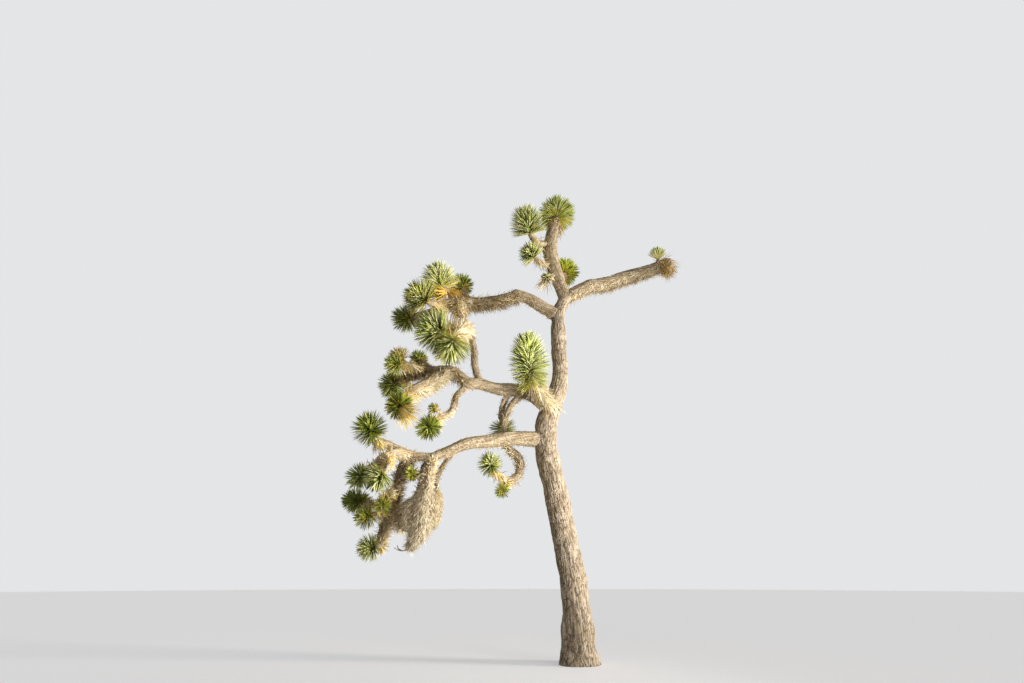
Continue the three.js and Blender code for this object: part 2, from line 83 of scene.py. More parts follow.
# The dead leaves
DEAD_SPRAY = 20  # dead leaves for each one in the part's source
HANGING_SPRAY = 14  # and hanging ones
FEWEST_DEAD = 25
DEAD_TOP = 1.25  # the highest place where they start, as a share of the stem under the green ones,
DEAD_SPAN = 0.95  # how far down from there the lowest one starts, likewise,
DEAD_CROWDING = 1.3  # and how closely they stand at the top: evenly if 1
LEAST_START = 0.02  # metres from the stem's root to the lowest of them
SKIRT_LEAVES = 5600  # to a square metre of a skirt, when they are as long as this:
SKIRT_BLADE = 0.085
DEAD_THICKNESS = 0.0025
THATCH_FORM = ((0, 1), (0.5, 0.8))
CLEAR_SHARE = 0.55  # the place along a leaf that stays clear of all limbs, as its tip does
BALL_STEP = 0.04  # between the balls that stand for a limb in that
BALL_SHARE = 0.9  # their radius, as a share of the limb's

# The kinds of dead leaves. They start between two shares of the line, at a share of the radius there,
# look ahead, out and down, which is their sag, and stray. Their sizes, widths and bows are shares of
# the full length, of the width given before and of their own length. The last shares say how many
# take each tint.
OLD_LEAVES = {
    "folded": dict(
        root=0.7, sag=(0.3, 1.1), lean_stray=0.3, stray=0.12, sizes=(0.45, 0.85),
        width=0.014, widths=(0.7, 1.1), bows=(-0.1, 0.16), shares=(0.5, 0.25, 0.25)),
    "hanging": dict(
        spread=1.6, sizes=(0.7, 1.05),
        width=0.014, widths=(0.7, 1.1), bows=(-0.05, 0.16), shares=(0.5, 0.25, 0.25)),
    "skirt": dict(
        starts=(-0.04, 0.96), roots=(0.7, 0.98), ahead=0.4, out=(0.2, 1.1), sag=0.7, stray=0.34,
        sizes=(0.5, 1.15), width=0.0085, widths=(0.6, 1), bows=(-0.3, 0.4), shares=(0.5, 0.3, 0.2)),
    "thatch": dict(
        starts=(0.03, 1), root=0.93, ahead=-0.75, out=(0.3, 0.9), sag=(0.1, 0.7), stray=0.3,
        sizes=(0.5, 1.25), width=0.0085, widths=(0.6, 1.1), bows=(-0.25, 0.35),
        shares=(0.55, 0.2, 0.17, 0.08)),
}
THATCH_MIX = ("bleached", "straw", "weathered", "golden")  # three of them go with the main tint

# Bark
TRUNK_GRID = 0.0065  # between the corners of the trunk's bark
BOUGH_GRID = 0.0075
STEM_GRID = 0.012
START_INSIDE = 0.5  # where a limb's bark starts in its parent, as a share of the parent's radius
RUN_IN = 0.14  # how far back a limb that carries its parent on starts inside it
RUN_STEP = 0.01
RUN_EASE = 15  # points over which such a limb's line is evened out
RUN_SINK = 0.008  # how deep it lies in its parent until it leaves it
RADIUS_EASE = 25  # rings over which a limb's radius is evened out
END_STEPS = (0.3, 0.6, 0.85)  # the rings that round a limb's tip off, in radii past it
END_SHARES = (0.92, 0.72, 0.4)
PLATE_STRAY = 0.75  # how far a plate's middle strays, in plates
WANDER = 1.5  # how far the cracks stray, in plates
WANDER_SIZES = (3.5, 2.5)  # size of their bends round the limb and along it, in plates
CRACK_SHARE = 0.3  # how wide a crack is at most, in plates
CLOSED_SHARE = 0.15  # how wide it is at least, as a share of that
CRACK_DEPTH = 0.75  # as a share of the bark's depth, as the next two are
PLATE_LEVELS = 0.6
FURROW_DEPTH = 1.1
FURROW_LEVEL = 0.6  # the furrow pattern's value at which the bark keeps its place
FURROW_PALE = 0.35  # how much of the plates' pale colour is left in the furrows, a darkening that is partly the bark's own colour and partly painted shade
FURROW = (0.013, 0.16)  # size of the fine furrows across the limb, and how short they are along it
SWELLING = 0.22  # the slow swellings of a limb, as a share of its radius
SWELLING_SIZE = 0.17
FEWEST_SIDES = 10  # of a tube of bark
FEWEST_COLUMNS = 3  # of plates round it
QUAD_CORNERS = ((0, 0), (0, 1), (1, 1), (1, 0))
FOOT_DEPTH = 0.2  # how far the middle of a tube's foot lies behind its first ring, in radii
STEM_SHARE = 0.72  # a rosette's bare stem, as a share of the stem with its dead leaves
STEM_PLATE = (0.018, 0.03)
STEM_DEPTH = 0.005
STEM_TAPER = 0.55  # how much thinner it gets inside its leaves
STEM_END = 0.3  # where it ends, in reaches before the end of its line
STEM_MOST = 0.8  # its greatest radius, as a share of that of its leaves' dense middle
SKIRT_MIDDLE = 0.8  # radius of a skirt's dark middle, as a share of the skirt's
TWIG_RADIUS = 0.009
TWIG_TAPER = 0.6
TWIG_GRID = 0.004
TWIG_PLATE = (0.008, 0.02)
TWIG_DEPTH = 0.001
BARE_TWIG = (
    [(-1.9, -0.24, 1.2), (-1.95, -0.25, 1.13), (-2.02, -0.26, 1.12), (-2.09, -0.27, 1.15)],
    [(-2.0, -0.26, 1.12), (-2.04, -0.24, 1.14), (-2.06, -0.23, 1.18)],
)

# What mixes letters and whole numbers into numbers that look like chance
SEED_START = 7
LETTER_FACTOR = 31
SEED_LIMIT = 10**9
BARK_SEEDS = 1000  # how many seeds there are for bark
SEED_FACTOR = 974634777
CELL_PRIMES = (374761393, 668265263, 2147483647)
STIRS = ((15, 2246822519), (13, 3266489917))

# The camera, the floor and the lights
CAMERA_PLACE = (-1.207, -6.3, 0.81)
CAMERA_PITCH = math.radians(26)
CAMERA_YAW = math.radians(4.2)
CAMERA_SENSOR = 36  # millimetres
CAMERA_LENS = 17.3
FLOOR_RADIUS = 60
FLOOR_SIDES = 96
FLOOR_DROP = 0.0005
FLOOR_COLOUR = (0.84, 0.83, 0.82, 1)
FLOOR_GLOW = 0.3  # what keeps the floor pale where the camera sees it
GLOW_COLOUR = (0.95, 0.96, 1, 1)
STUDIO_COLOUR = (0.97, 0.98, 1, 1)
SURROUND = 0.3  # how strongly the studio's pale surroundings light the tree
BACKGROUND = 0.8  # how bright they look
KEY_POWER = 4.5
KEY_ANGLE = math.radians(14)  # how wide the key light looks, for soft shadows
KEY_FROM = (0.95, -0.25, 0.12)  # the direction that it comes from
BOX_POWER = 118  # watts, of a low soft box that lights the undersides
BOX_SIZE = 1.6
BOX_SPREAD = math.radians(96)  # narrow enough to leave the floor alone
BOX_PLACE = (2.4, -3.4, 0.9)
BOX_TOWARDS = (-1.2, 0, 3.6)
WARM_WHITE = (1, 0.96, 0.89)

# The wood. Each limb grows on another, at a share of that limb's length, passes the points of its
# way, and takes its radii evenly along it.
LIMBS = {
    "trunk": dict(
        way=[(0, 0, 0), (-0.01, 0, 0.42), (-0.05, 0, 0.93), (-0.13, 0, 1.43), (-0.21, 0, 1.9),
            (-0.29, 0, 2.34), (-0.28, 0, 2.68), (-0.2, 0, 2.95)],
        radius=(0.17, 0.16, 0.148, 0.144, 0.142)),
    "upper_trunk": dict(
        on=("trunk", 0.985), radius=(0.128, 0.11, 0.102, 0.092),
        way=[(-0.09, 0, 3.25), (-0.07, 0, 3.6), (-0.07, 0, 4.02), (-0.06, 0, 4.33), (0.07, 0, 4.67)]),

    # The lowest bough, which weeps nearly to the ground
    "low_bough": dict(
        on=("trunk", 0.84), radius=(0.098, 0.084, 0.062),
        way=[(-0.71, -0.05, 2.47), (-1.03, -0.1, 2.42), (-1.31, -0.15, 2.37), (-1.55, -0.18, 2.26),
            (-1.77, -0.2, 2.16)]),
    "low_bough_arm": dict(
        on=("low_bough", 0.985), radius=(0.055, 0.049),
        way=[(-1.97, -0.22, 2.19), (-2.13, -0.27, 2.24), (-2.27, -0.34, 2.29), (-2.39, -0.42, 2.31)]),
    "skirt_bough": dict(
        on=("low_bough", 0.97), radius=(0.06, 0.062),
        way=[(-1.75, -0.25, 1.97), (-1.76, -0.3, 1.77)]),
    "thin_spur": dict(
        on=("low_bough", 0.76), radius=(0.032, 0.03),
        way=[(-1.58, -0.05, 2.16), (-1.67, 0, 1.99), (-1.67, -0.05, 1.79)]),
    "arched_spur": dict(
        on=("low_bough_arm", 0.42), radius=(0.05, 0.046),
        way=[(-2.14, -0.45, 2.17), (-2.24, -0.65, 2.07), (-2.32, -0.75, 1.94)]),
    "drooping_bough": dict(
        on=("low_bough_arm", 0.37), radius=(0.062, 0.06),
        way=[(-2.11, -0.06, 2.06), (-2.16, 0.07, 1.865), (-2.185, 0.13, 1.67)]),
    "drooping_end": dict(
        on=("drooping_bough", 0.96), radius=(0.05, 0.07, 0.066, 0.042),
        way=[(-2.25, 0.15, 1.475), (-2.29, 0.1, 1.31), (-2.288, 0, 1.182)]),
    "inner_drooping_bough": dict(
        on=("low_bough", 0.985), radius=(0.05, 0.048),
        way=[(-1.853, 0.05, 2.073), (-1.88, 0.2, 1.914), (-1.96, 0.28, 1.717)]),

    # The middle bough, over it
    "middle_bough": dict(
        on=("trunk", 0.985), radius=(0.116, 0.104, 0.08, 0.078),
        way=[(-0.45, 0.1, 3.13), (-0.69, 0.15, 3.21), (-0.94, 0.15, 3.22), (-1.18, 0.1, 3.27),
            (-1.37, 0, 3.24)]),
    "rising_spur": dict(
        on=("middle_bough", 0.83), radius=(0.05, 0.043),
        way=[(-1.26, 0.15, 3.54), (-1.28, 0.15, 3.78), (-1.33, 0.1, 3.99), (-1.44, 0, 4.13)]),
    "middle_arm": dict(
        on=("middle_bough", 0.98), radius=(0.075, 0.057),
        way=[(-1.57, -0.05, 3.39), (-1.76, -0.03, 3.39), (-2.02, 0.1, 3.42), (-2.24, 0.25, 3.43)]),
    "middle_front_arm": dict(
        on=("middle_arm", 0.3), radius=(0.066, 0.088, 0.06),
        way=[(-1.862, -0.2, 3.134), (-2.032, -0.4, 2.959)]),
    "middle_hanging_spur": dict(
        on=("middle_bough", 0.96), radius=(0.038, 0.046, 0.04),
        way=[(-1.495, 0, 3.05), (-1.515, -0.05, 2.89), (-1.58, -0.15, 2.74), (-1.67, -0.25, 2.69)]),
    "hanging_spur": dict(
        on=("middle_bough", 0.5), radius=(0.046, 0.038),
        way=[(-0.85, 0.22, 3.03), (-0.88, 0.3, 2.85)]),
    "hooked_bough": dict(
        on=("middle_bough", 0.35), radius=(0.044, 0.038),
        way=[(-0.75, 0.15, 2.98), (-0.83, 0.18, 2.76), (-0.85, 0.2, 2.54)]),
    "hook_bend": dict(
        on=("hooked_bough", 0.96), radius=(0.04, 0.058, 0.056),
        way=[(-0.77, 0.22, 2.39), (-0.65, 0.2, 2.29), (-0.62, 0.15, 2.15)]),
    "hook_end": dict(
        on=("hook_bend", 0.95), radius=(0.054, 0.042),
        way=[(-0.65, 0.12, 2.05), (-0.7, 0.08, 1.99), (-0.81, 0.01, 1.94)]),

    # The left bough, which rises to a knee and then runs level
    "left_bough": dict(
        on=("upper_trunk", 0.8), radius=(0.092, 0.082),
        way=[(-0.31, 0, 4.49), (-0.5, 0, 4.61), (-0.7, 0, 4.67)]),
    "left_bough_arm": dict(
        on=("left_bough", 0.96), radius=(0.082, 0.09, 0.088, 0.066),
        way=[(-0.92, 0, 4.56), (-1.19, 0.05, 4.54), (-1.4, 0.05, 4.51), (-1.59, 0, 4.51),
            (-1.75, -0.05, 4.42)]),

    # The crown stem and the bough to the right
    "crown_stem": dict(
        on=("upper_trunk", 0.985), radius=(0.094, 0.106, 0.112, 0.088),
        way=[(-0.01, 0, 4.89), (-0.09, 0, 5.18), (-0.14, 0, 5.48), (-0.11, 0.02, 5.78),
            (-0.05, 0.05, 6.05)]),
    "right_bough": dict(
        on=("upper_trunk", 0.985), radius=(0.09, 0.106, 0.108, 0.108, 0.084),
        way=[(0.27, 0.02, 4.79), (0.47, 0.05, 4.91), (0.73, 0.08, 4.97), (1, 0.1, 5.1), (1.31, 0.1, 5.21),
            (1.55, 0.08, 5.31), (1.7, 0.05, 5.39)]),
}

# The rosettes. The stem of each grows on a limb as a limb does, and ends in the middle of a ball of
# green leaves with the given reach, or of a column of them that runs back along the stem. Where
# lowest is given, the green leaves lean out no further than that many degrees. They have the tints
# that are given, and a share of dark leaves that are painted shade for the shade between leaves,
# or of the inner tint in their stead. The dead leaves folded back under them are of the mix that
# old names, or else of straw. Those that hang point to the direction given by to, and start in the
# rosette's middle or at the given share of its stem.
ROSETTES = {
    "rosette_front": dict(
        on=("trunk", 0.97),
        way=[(-0.27, -0.16, 2.93), (-0.4, -0.27, 3.04), (-0.5, -0.34, 3.15), (-0.565, -0.42, 3.58)],
        stem=0.078, reach=0.285, column=0.36, dead=6, tints="sage fresh pale", old="bleached"),

    "rosette_top": dict(
        on=("crown_stem", 0.98), way=[(0.03, 0.15, 6.39)],
        stem=0.08, reach=0.325, dead=5, tints="fresh sage pale"),
    "rosette_top_left": dict(
        on=("crown_stem", 0.7), way=[(-0.36, -0.16, 5.54), (-0.492, -0.28, 5.618), (-0.543, -0.38, 5.744)],
        stem=0.056, reach=0.3, column=0.1, lowest=84, dead=2, tints="sage pale fresh",
        old="weathered"),
    "rosette_top_low": dict(
        on=("crown_stem", 0.45), way=[(-0.25, -0.11, 5.17), (-0.4, -0.21, 5.19), (-0.468, -0.25, 5.24)],
        stem=0.046, reach=0.22, lowest=88, dead=2, tints="sage pale fresh", old="weathered"),
    "rosette_top_stub": dict(
        on=("crown_stem", 0.3), way=[(-0.205, -0.19, 4.88), (-0.262, -0.3, 4.8)],
        stem=0.04, reach=0.09, dead=4, hanging=dict(leaves=4, reach=0.26, to=(-0.3, -0.1, -1)),
        tints="pale olive sage", old="weathered"),
    # Its lime leaves are painted backlight, the glow of leaves lit from behind
    "rosette_top_back": dict(
        on=("crown_stem", 0.17), way=[(0.07, 0.2, 5.14), (0.16, 0.4, 5.39)],
        stem=0.052, reach=0.25, dead=3, tints="lime fresh lime"),

    "rosette_right": dict(
        on=("right_bough", 0.93), way=[(1.59, 0, 5.39), (1.585, -0.02, 5.465)],
        stem=0.044, reach=0.17, lowest=50, dead=0, tints="sage pale sage"),

    "rosette_left_top": dict(
        on=("left_bough_arm", 0.72), way=[(-1.65, -0.01, 4.65), (-1.77, -0.06, 4.7), (-1.835, -0.12, 4.835)],
        stem=0.058, reach=0.29, column=0.06, lowest=90, dead=7,
        hanging=dict(leaves=9, reach=0.37, at=0.52, to=(-0.95, -0.3, -0.42)),
        tints="pale sage fresh", old="golden"),
    "rosette_left_outer": dict(
        on=("left_bough_arm", 0.98), way=[(-1.93, -0.2, 4.355), (-2.03, -0.28, 4.395)],
        stem=0.052, reach=0.295, lowest=80, dead=3, tints="fresh pale yellowed"),
    # Olive leads its tints as painted shade, for a rosette that lies in shade
    "rosette_left_far": dict(
        on=("left_bough_arm", 0.96), way=[(-2, 0.25, 4.45), (-2.34, 0.42, 4.43)],
        stem=0.054, reach=0.25, dead=3, tints="olive fresh sage"),
    "rosette_left_back": dict(
        on=("left_bough_arm", 0.6), way=[(-1.46, 0.3, 4.83), (-1.52, 0.42, 5.07)],
        stem=0.05, reach=0.205, dead=3, tints="olive fresh yellowed"),
    "rosette_left_middle": dict(
        on=("rising_spur", 0.97), way=[(-1.55, -0.19, 3.99), (-1.675, -0.41, 3.8), (-1.785, -0.45, 3.8)],
        stem=0.054, reach=0.325, lowest=84, dead=8, tints="sage fresh pale", old="mixed"),
    "rosette_left_low": dict(
        on=("rising_spur", 0.88), way=[(-1.45, -0.28, 3.95), (-1.528, -0.46, 3.775), (-1.58, -0.44, 3.605)],
        stem=0.054, reach=0.31, lowest=84, dead=3, tints="pale sage fresh", old="bleached"),

    "rosette_mid_upper": dict(
        on=("middle_arm", 0.62), way=[(-2.11, -0.19, 3.4), (-2.29, -0.24, 3.385)],
        stem=0.04, reach=0.185, lowest=86, dead=4, tints="fresh yellowed sage"),
    "tuft_dry": dict(
        on=("middle_arm", 0.7), way=[(-2.17, -0.06, 3.44), (-2.27, -0.18, 3.515)],
        stem=0.026, reach=0.165, lowest=85, dead=6,
        tints="cream cream yellowed", inner="cream", old="mixed"),
    # Olive leads its tints as painted shade, for a rosette that lies in shade
    "rosette_mid_back": dict(
        on=("middle_arm", 0.48), way=[(-1.97, 0.32, 3.62), (-2.1, 0.45, 3.77)],
        stem=0.046, reach=0.155, dead=3, tints="olive fresh olive"),
    # Olive leads its tints as painted shade, for a rosette that lies in shade
    "rosette_mid_outer": dict(
        on=("middle_arm", 0.98), way=[(-2.42, 0.38, 3.33)],
        stem=0.05, reach=0.23, dead=3, tints="olive fresh sage"),
    "rosette_mid_front": dict(
        on=("middle_front_arm", 0.97), way=[(-2.141, -0.6, 2.693)],
        stem=0.048, reach=0.188, dead=7, hanging=dict(leaves=9, reach=0.33, to=(0.9, -0.3, -1)),
        tints="fresh olive yellowed"),
    "rosette_mid_hanging": dict(
        on=("middle_hanging_spur", 0.97), way=[(-1.79, -0.42, 2.49)],
        stem=0.036, reach=0.178, dead=3, tints="fresh sage olive"),
    "tuft_mid": dict(
        on=("middle_hanging_spur", 0.9), way=[(-1.755, -0.335, 2.755)],
        stem=0.024, reach=0.085, lowest=90, dead=0, tints="yellowed fresh pale"),

    "rosette_low_outer": dict(
        on=("low_bough_arm", 0.97), way=[(-2.47, -0.52, 2.44)],
        stem=0.046, reach=0.225, dead=3, tints="fresh olive sage"),
    "rosette_arch_end": dict(
        on=("arched_spur", 0.96), way=[(-2.44, -0.86, 1.81)],
        stem=0.038, reach=0.16, dead=3, tints="sage olive fresh"),
    "rosette_arch_front": dict(
        on=("arched_spur", 0.68), way=[(-2.135, -0.94, 1.89), (-2.207, -0.98, 1.795)],
        stem=0.038, reach=0.18, lowest=80, dead=0, tints="sage pale fresh", old="weathered"),
    "rosette_droop_front": dict(
        on=("drooping_bough", 0.78), way=[(-2.25, -0.11, 1.76), (-2.266, -0.25, 1.6)],
        stem=0.036, reach=0.125, dead=8, tints="fresh yellowed pale"),
    # Olive leads its tints as painted shade, for a rosette that lies in shade
    "rosette_droop_outer": dict(
        on=("drooping_bough", 0.93), way=[(-2.49, 0.3, 1.68), (-2.77, 0.43, 1.75)],
        stem=0.046, reach=0.17, column=0.12, dead=3, tints="olive fresh olive"),
    "rosette_droop_low": dict(
        on=("drooping_end", 0.2), way=[(-2.38, -0.06, 1.53), (-2.47, -0.105, 1.497)],
        stem=0.036, reach=0.165, lowest=95, dead=2, tints="fresh yellowed sage"),
    "rosette_lowest": dict(
        on=("drooping_end", 0.97), way=[(-2.315, -0.05, 1.17), (-2.388, -0.085, 1.16)],
        stem=0.034, reach=0.17, lowest=95, dead=2, tints="sage pale fresh"),
    "tuft_inner": dict(
        on=("inner_drooping_bough", 0.45), way=[(-1.97, -0.11, 1.93), (-1.97, -0.22, 1.98)],
        stem=0.026, reach=0.105, dead=0, tints="fresh yellowed sage"),

    "rosette_hanging": dict(
        on=("hanging_spur", 0.97), way=[(-0.84, 0.4, 2.68)],
        stem=0.036, reach=0.22, dead=0, tints="sage pale fresh"),
    "rosette_hook": dict(
        on=("hook_end", 0.95), way=[(-0.93, -0.09, 2.01), (-1.03, -0.15, 2.12)],
        stem=0.038, reach=0.175, dead=2, tints="sage fresh pale"),
    "tuft_hook": dict(
        on=("hook_end", 0.93), way=[(-0.87, -0.04, 1.82)],
        stem=0.032, reach=0.11, dead=2, tints="fresh sage yellowed"),
}

# The skirts of dead leaves, which hang from a limb. Their radii are taken evenly along them. Here
# each also has the length of its leaves, how coarse they are, and its two main tints.
SKIRTS = {
    "skirt_right": dict(
        on=("right_bough", 0.955), way=[(1.735, 0, 5.37), (1.715, -0.02, 5.25), (1.675, -0.03, 5.13)],
        radius=(0.07, 0.098, 0.108, 0.095, 0.07, 0.034), blade=0.15, coarse=1.3, tints="straw golden"),
    "skirt_left": dict(
        on=("left_bough_arm", 0.8), way=[(-1.5, -0.025, 4.41), (-1.49, -0.05, 4.25)],
        radius=(0.062, 0.11, 0.125, 0.1, 0.045), blade=0.11, coarse=1.2, tints="straw bleached"),
    "skirt_inner": dict(
        on=("inner_drooping_bough", 0.96), way=[(-2.1, 0.27, 1.51), (-2.03, 0.22, 1.4)],
        radius=(0.06, 0.12, 0.145, 0.13, 0.06), blade=0.08, coarse=0.8, tints="bleached bleached"),
    "skirt_big": dict(
        on=("skirt_bough", 0.96),
        way=[(-1.8, -0.33, 1.57), (-1.815, -0.3, 1.42), (-1.845, -0.27, 1.27), (-1.935, -0.24, 1.13)],
        radius=(0.072, 0.126, 0.146, 0.15, 0.122, 0.058, 0.022), blade=0.085, coarse=0.8,
        tints="bleached weathered"),
    "skirt_back": dict(
        on=("thin_spur", 0.96), way=[(-1.68, -0.08, 1.55), (-1.7, -0.13, 1.37)],
        radius=(0.038, 0.075, 0.085, 0.07, 0.03), blade=0.07, coarse=0.8, tints="bleached straw"),
}

# The thatch of old leaves that lies back on a bough or a rosette's stem: how many to a metre, their
# length, the share of the upper ones that is drawn to the underside, and the main tint. The dark
# brown one on the drooping boughs, the middle arm and the left bough's arm is painted shade.
THATCH = {
    "low_bough": (260, 0.055, 0.3, "bleached"),
    "low_bough_arm": (320, 0.08, 0.3, "weathered"),
    "skirt_bough": (900, 0.065, 0.2, "bleached"),
    "thin_spur": (200, 0.05, 0.2, "weathered"),
    "arched_spur": (1100, 0.08, 0.4, "weathered"),
    "drooping_bough": (1100, 0.1, 0.4, "umber"),
    "drooping_end": (1300, 0.085, 0.2, "weathered"),
    "inner_drooping_bough": (900, 0.06, 0.3, "umber"),
    "middle_bough": (240, 0.06, 0.3, "bleached"),
    "rising_spur": (260, 0.055, 0.2, "weathered"),
    "middle_arm": (1000, 0.12, 0.7, "umber"),
    "middle_front_arm": (1700, 0.11, 0.75, "bleached"),
    "middle_hanging_spur": (420, 0.05, 0.3, "bleached"),
    "hanging_spur": (380, 0.055, 0.3, "bleached"),
    "hooked_bough": (380, 0.05, 0.3, "bleached"),
    "hook_bend": (520, 0.065, 0.3, "bleached"),
    "hook_end": (420, 0.07, 0.3, "weathered"),
    "left_bough": (380, 0.07, 0.6, "bleached"),
    "left_bough_arm": (1400, 0.12, 0.7, "umber"),
    "crown_stem": (200, 0.055, 0.2, "bleached"),
    "right_bough": (700, 0.095, 0.9, "bleached"),
    "rosette_front": (2600, 0.1, 0, "bleached"),
    "rosette_left_top": (1500, 0.15, 0.4, "golden"),
    "rosette_left_middle": (1200, 0.13, 0.4, "golden"),
    "rosette_left_low": (1500, 0.14, 0.4, "bleached"),
    "rosette_arch_front": (900, 0.08, 0.3, "golden"),
}

# The pieces of bark: the limbs of each, the space between the corners, a plate's width and height,
# how deep its cracks are, and the record's slot for its finish.
BARKS = {
    "bark_of_trunk": (("trunk",), TRUNK_GRID, (0.026, 0.08), 0.009, "trunk_bark"),
    "bark_of_upper_trunk": (("upper_trunk",), TRUNK_GRID, (0.026, 0.09), 0.009, "trunk_bark"),
    "bark_of_low_boughs": (
        ("low_bough", "low_bough_arm", "skirt_bough", "thin_spur", "arched_spur", "drooping_bough",
         "drooping_end", "inner_drooping_bough"),
        BOUGH_GRID, (0.022, 0.055), 0.0065, "bough_bark"),
    "bark_of_middle_boughs": (
        ("middle_bough", "rising_spur", "middle_arm", "middle_front_arm", "middle_hanging_spur",
         "hanging_spur", "hooked_bough", "hook_bend", "hook_end"),
        BOUGH_GRID, (0.023, 0.06), 0.007, "bough_bark"),
    "bark_of_high_boughs": (
        ("left_bough", "left_bough_arm", "crown_stem", "right_bough"),
        BOUGH_GRID, (0.024, 0.075), 0.0075, "bough_bark"),
}

# The surfaces: how deep their finest grain looks and how much they shine
GAMMA = 2.2  # between plain colours and the shaders' ones
NOISE_LOW = 0.3  # what most of a noise's values lie between
NOISE_HIGH = 0.7
BUMP = 0.6  # how strongly the grain is pressed into them
BARK_GRAIN = 0.0022
LEAF_GRAIN = 0.0006
BARK_GLOSS = 0.2
LEAF_GLOSS = 0.45
DEAD_GLOSS = 0.2
FIBRE_SCALE = (190, 30, 1)  # how fine the bark's fibres are, round the limb and along it
MIX_SHARE, MIX_FIRST, MIX_SECOND, MIX_RESULT = 0, 6, 7, 2  # the sockets of a mix of colours

# Plain colours, as red, green and blue from 0 to 255. Bark has one for its plates and one for its
# cracks, whose darkness is partly the bark's own colour and partly painted shade.
BARK_TINTS = {
    "trunk_bark": ((176, 160, 138), (98, 84, 68)),
    "bough_bark": ((190, 172, 144), (118, 100, 76)),
}
LEAF_TINTS = {
    # A bright lime that is painted backlight: the glow of leaves lit from behind
    "lime": (190, 200, 58),
    "cream": (238, 222, 158),
    # Dark leaves that are painted shade, dealt in among the others for the shade between leaves
    "deep": (92, 104, 44),
    "pale": (226, 224, 168),
    "sage": (202, 206, 136),
    "fresh": (178, 188, 84),
    # A leaf colour of its own, which is also painted shade where it leads the tints of a rosette in shade
    "olive": (128, 136, 58),
    "yellowed": (218, 196, 84),
}

# The tints in each mix of dead leaves
DEAD_MIXES = {
    "straw": ("straw", "yellowed", "bleached"),
    "golden": ("golden", "yellowed", "straw"),
    "mixed": ("golden", "straw", "weathered"),
    "bleached": ("bleached", "straw", "weathered"),
    "weathered": ("weathered", "bleached", "straw"),
}
DEAD_TINTS = {
    "yellowed": (214, 186, 70),
    "golden": (206, 162, 74),
    "straw": (218, 194, 134),
    "bleached": (230, 218, 190),
    "weathered": (180, 166, 138),
    # A dark brown that is painted shade, for the thatch of boughs that lie in shade
    "umber": (134, 112, 72),
}


def unit(vectors):
    return vectors / np.maximum(np.linalg.norm(vectors, axis=-1, keepdims=True), 1e-9)


def soften(x):
    """From 0 to 1 without a corner."""
    x = np.clip(x, 0, 1)
    return x * x * (3 - 2 * x)


def seed_of(name):
    seed = SEED_START
    for letter in name:
        seed = (seed * LETTER_FACTOR + ord(letter)) % SEED_LIMIT
    return seed


def scatter(*cell, seed):
    """A repeatable number from 0 to 1 for each cell, given by two or three whole numbers."""
    mixed = np.uint64(seed * SEED_FACTOR % 2**32)
    for place, prime in zip(cell, CELL_PRIMES):
        mixed = mixed + (place.astype(np.int64) % 2**20).astype(np.uint64) * np.uint64(prime)
    for shift, prime in STIRS:
        mixed = (mixed ^ (mixed >> np.uint64(shift))) * np.uint64(prime) % np.uint64(2**32)
    return (mixed ^ (mixed >> np.uint64(16))).astype(float) / 2**32


def ripple(points, size, seed):
    """A smooth pattern in space, from 0 to 1, whose waves are about size long."""
    place = points / size
    cell = np.floor(place)
    part = soften(place - cell)
    total = 0
    for corner in np.ndindex(2, 2, 2):
        share = np.prod(np.where(corner, part, 1 - part), axis=-1)
        total = total + share * scatter(*np.moveaxis(cell + corner, -1, 0), seed=seed)
    return total


def plates(u, v, columns, seed):
    """How far each place is from a crack between bark plates, and a number of its plate's own. u
    counts plates round the limb, which has a whole number of columns of them, and v along it."""
    column, row = np.floor(u), np.floor(v)
    nearest = np.full(u.shape, np.inf)
    second = nearest
    own = np.zeros(u.shape)
    for aside, ahead in np.ndindex(3, 3):
        i, j = column + aside - 1, row + ahead - 1
        across = i + 0.5 + PLATE_STRAY * (scatter(i % columns, j, seed=seed) - 0.5) - u
        along = j + 0.5 + PLATE_STRAY * (scatter(i % columns, j, seed=seed + 1) - 0.5) - v
        distance = np.hypot(across, along)
        closer = distance < nearest
        second = np.where(closer, nearest, np.minimum(second, distance))
        own = np.where(closer, scatter(i % columns, j, seed=seed + 2), own)
        nearest = np.where(closer, distance, nearest)
    return second - nearest, own


class Line:
    """A centre line, as points close together, with the distance along it and the direction at each."""

    def __init__(self, points):
        self.points = points
        steps = np.linalg.norm(np.diff(points, axis=0), axis=1)
        self.at = np.concatenate([[0], np.cumsum(steps)])
        self.length = self.at[-1]
        self.direction = unit(np.gradient(points, self.at, axis=0))

    def place(self, distance):
        """The points and directions at distances, which may lie before or past the line's ends."""
        distance = np.atleast_1d(distance)
        within = np.clip(distance, 0, self.length)
        point = np.stack([np.interp(within, self.at, axis) for axis in self.points.T], -1)
        direction = unit(np.stack([np.interp(within, self.at, axis) for axis in self.direction.T], -1))
        return point + direction * (distance - within)[:, None], direction


def through(points, steps=40):
    """A smooth curve through points, as the part's source draws it."""
    ghosts = [2 * points[0] - points[1], *points, 2 * points[-1] - points[-2]]
    spans = []
    share = np.linspace(0, 1, steps, endpoint=False)[:, None]
    for a, b, c, d in zip(ghosts, ghosts[1:], ghosts[2:], ghosts[3:]):
        ab, bc, cd = (np.sqrt(np.linalg.norm(end - start)) for start, end in ((a, b), (b, c), (c, d)))
        leaving = bc * ((b - a) / ab - (c - a) / (ab + bc) + (c - b) / bc)
        arriving = bc * ((c - b) / bc - (d - b) / (bc + cd) + (d - c) / cd)
        bend = -3 * b + 3 * c - 2 * leaving - arriving
        turn = 2 * b - 2 * c + leaving + arriving
        spans.append(b + leaving * share + bend * share**2 + turn * share**3)
    return np.vstack([*spans, points[-1]])


def evenly(values, share):
    """A value that passes evenly through a list as share goes from 0 to 1."""
    return np.interp(np.clip(share, 0, 1), np.linspace(0, 1, len(values)), values)


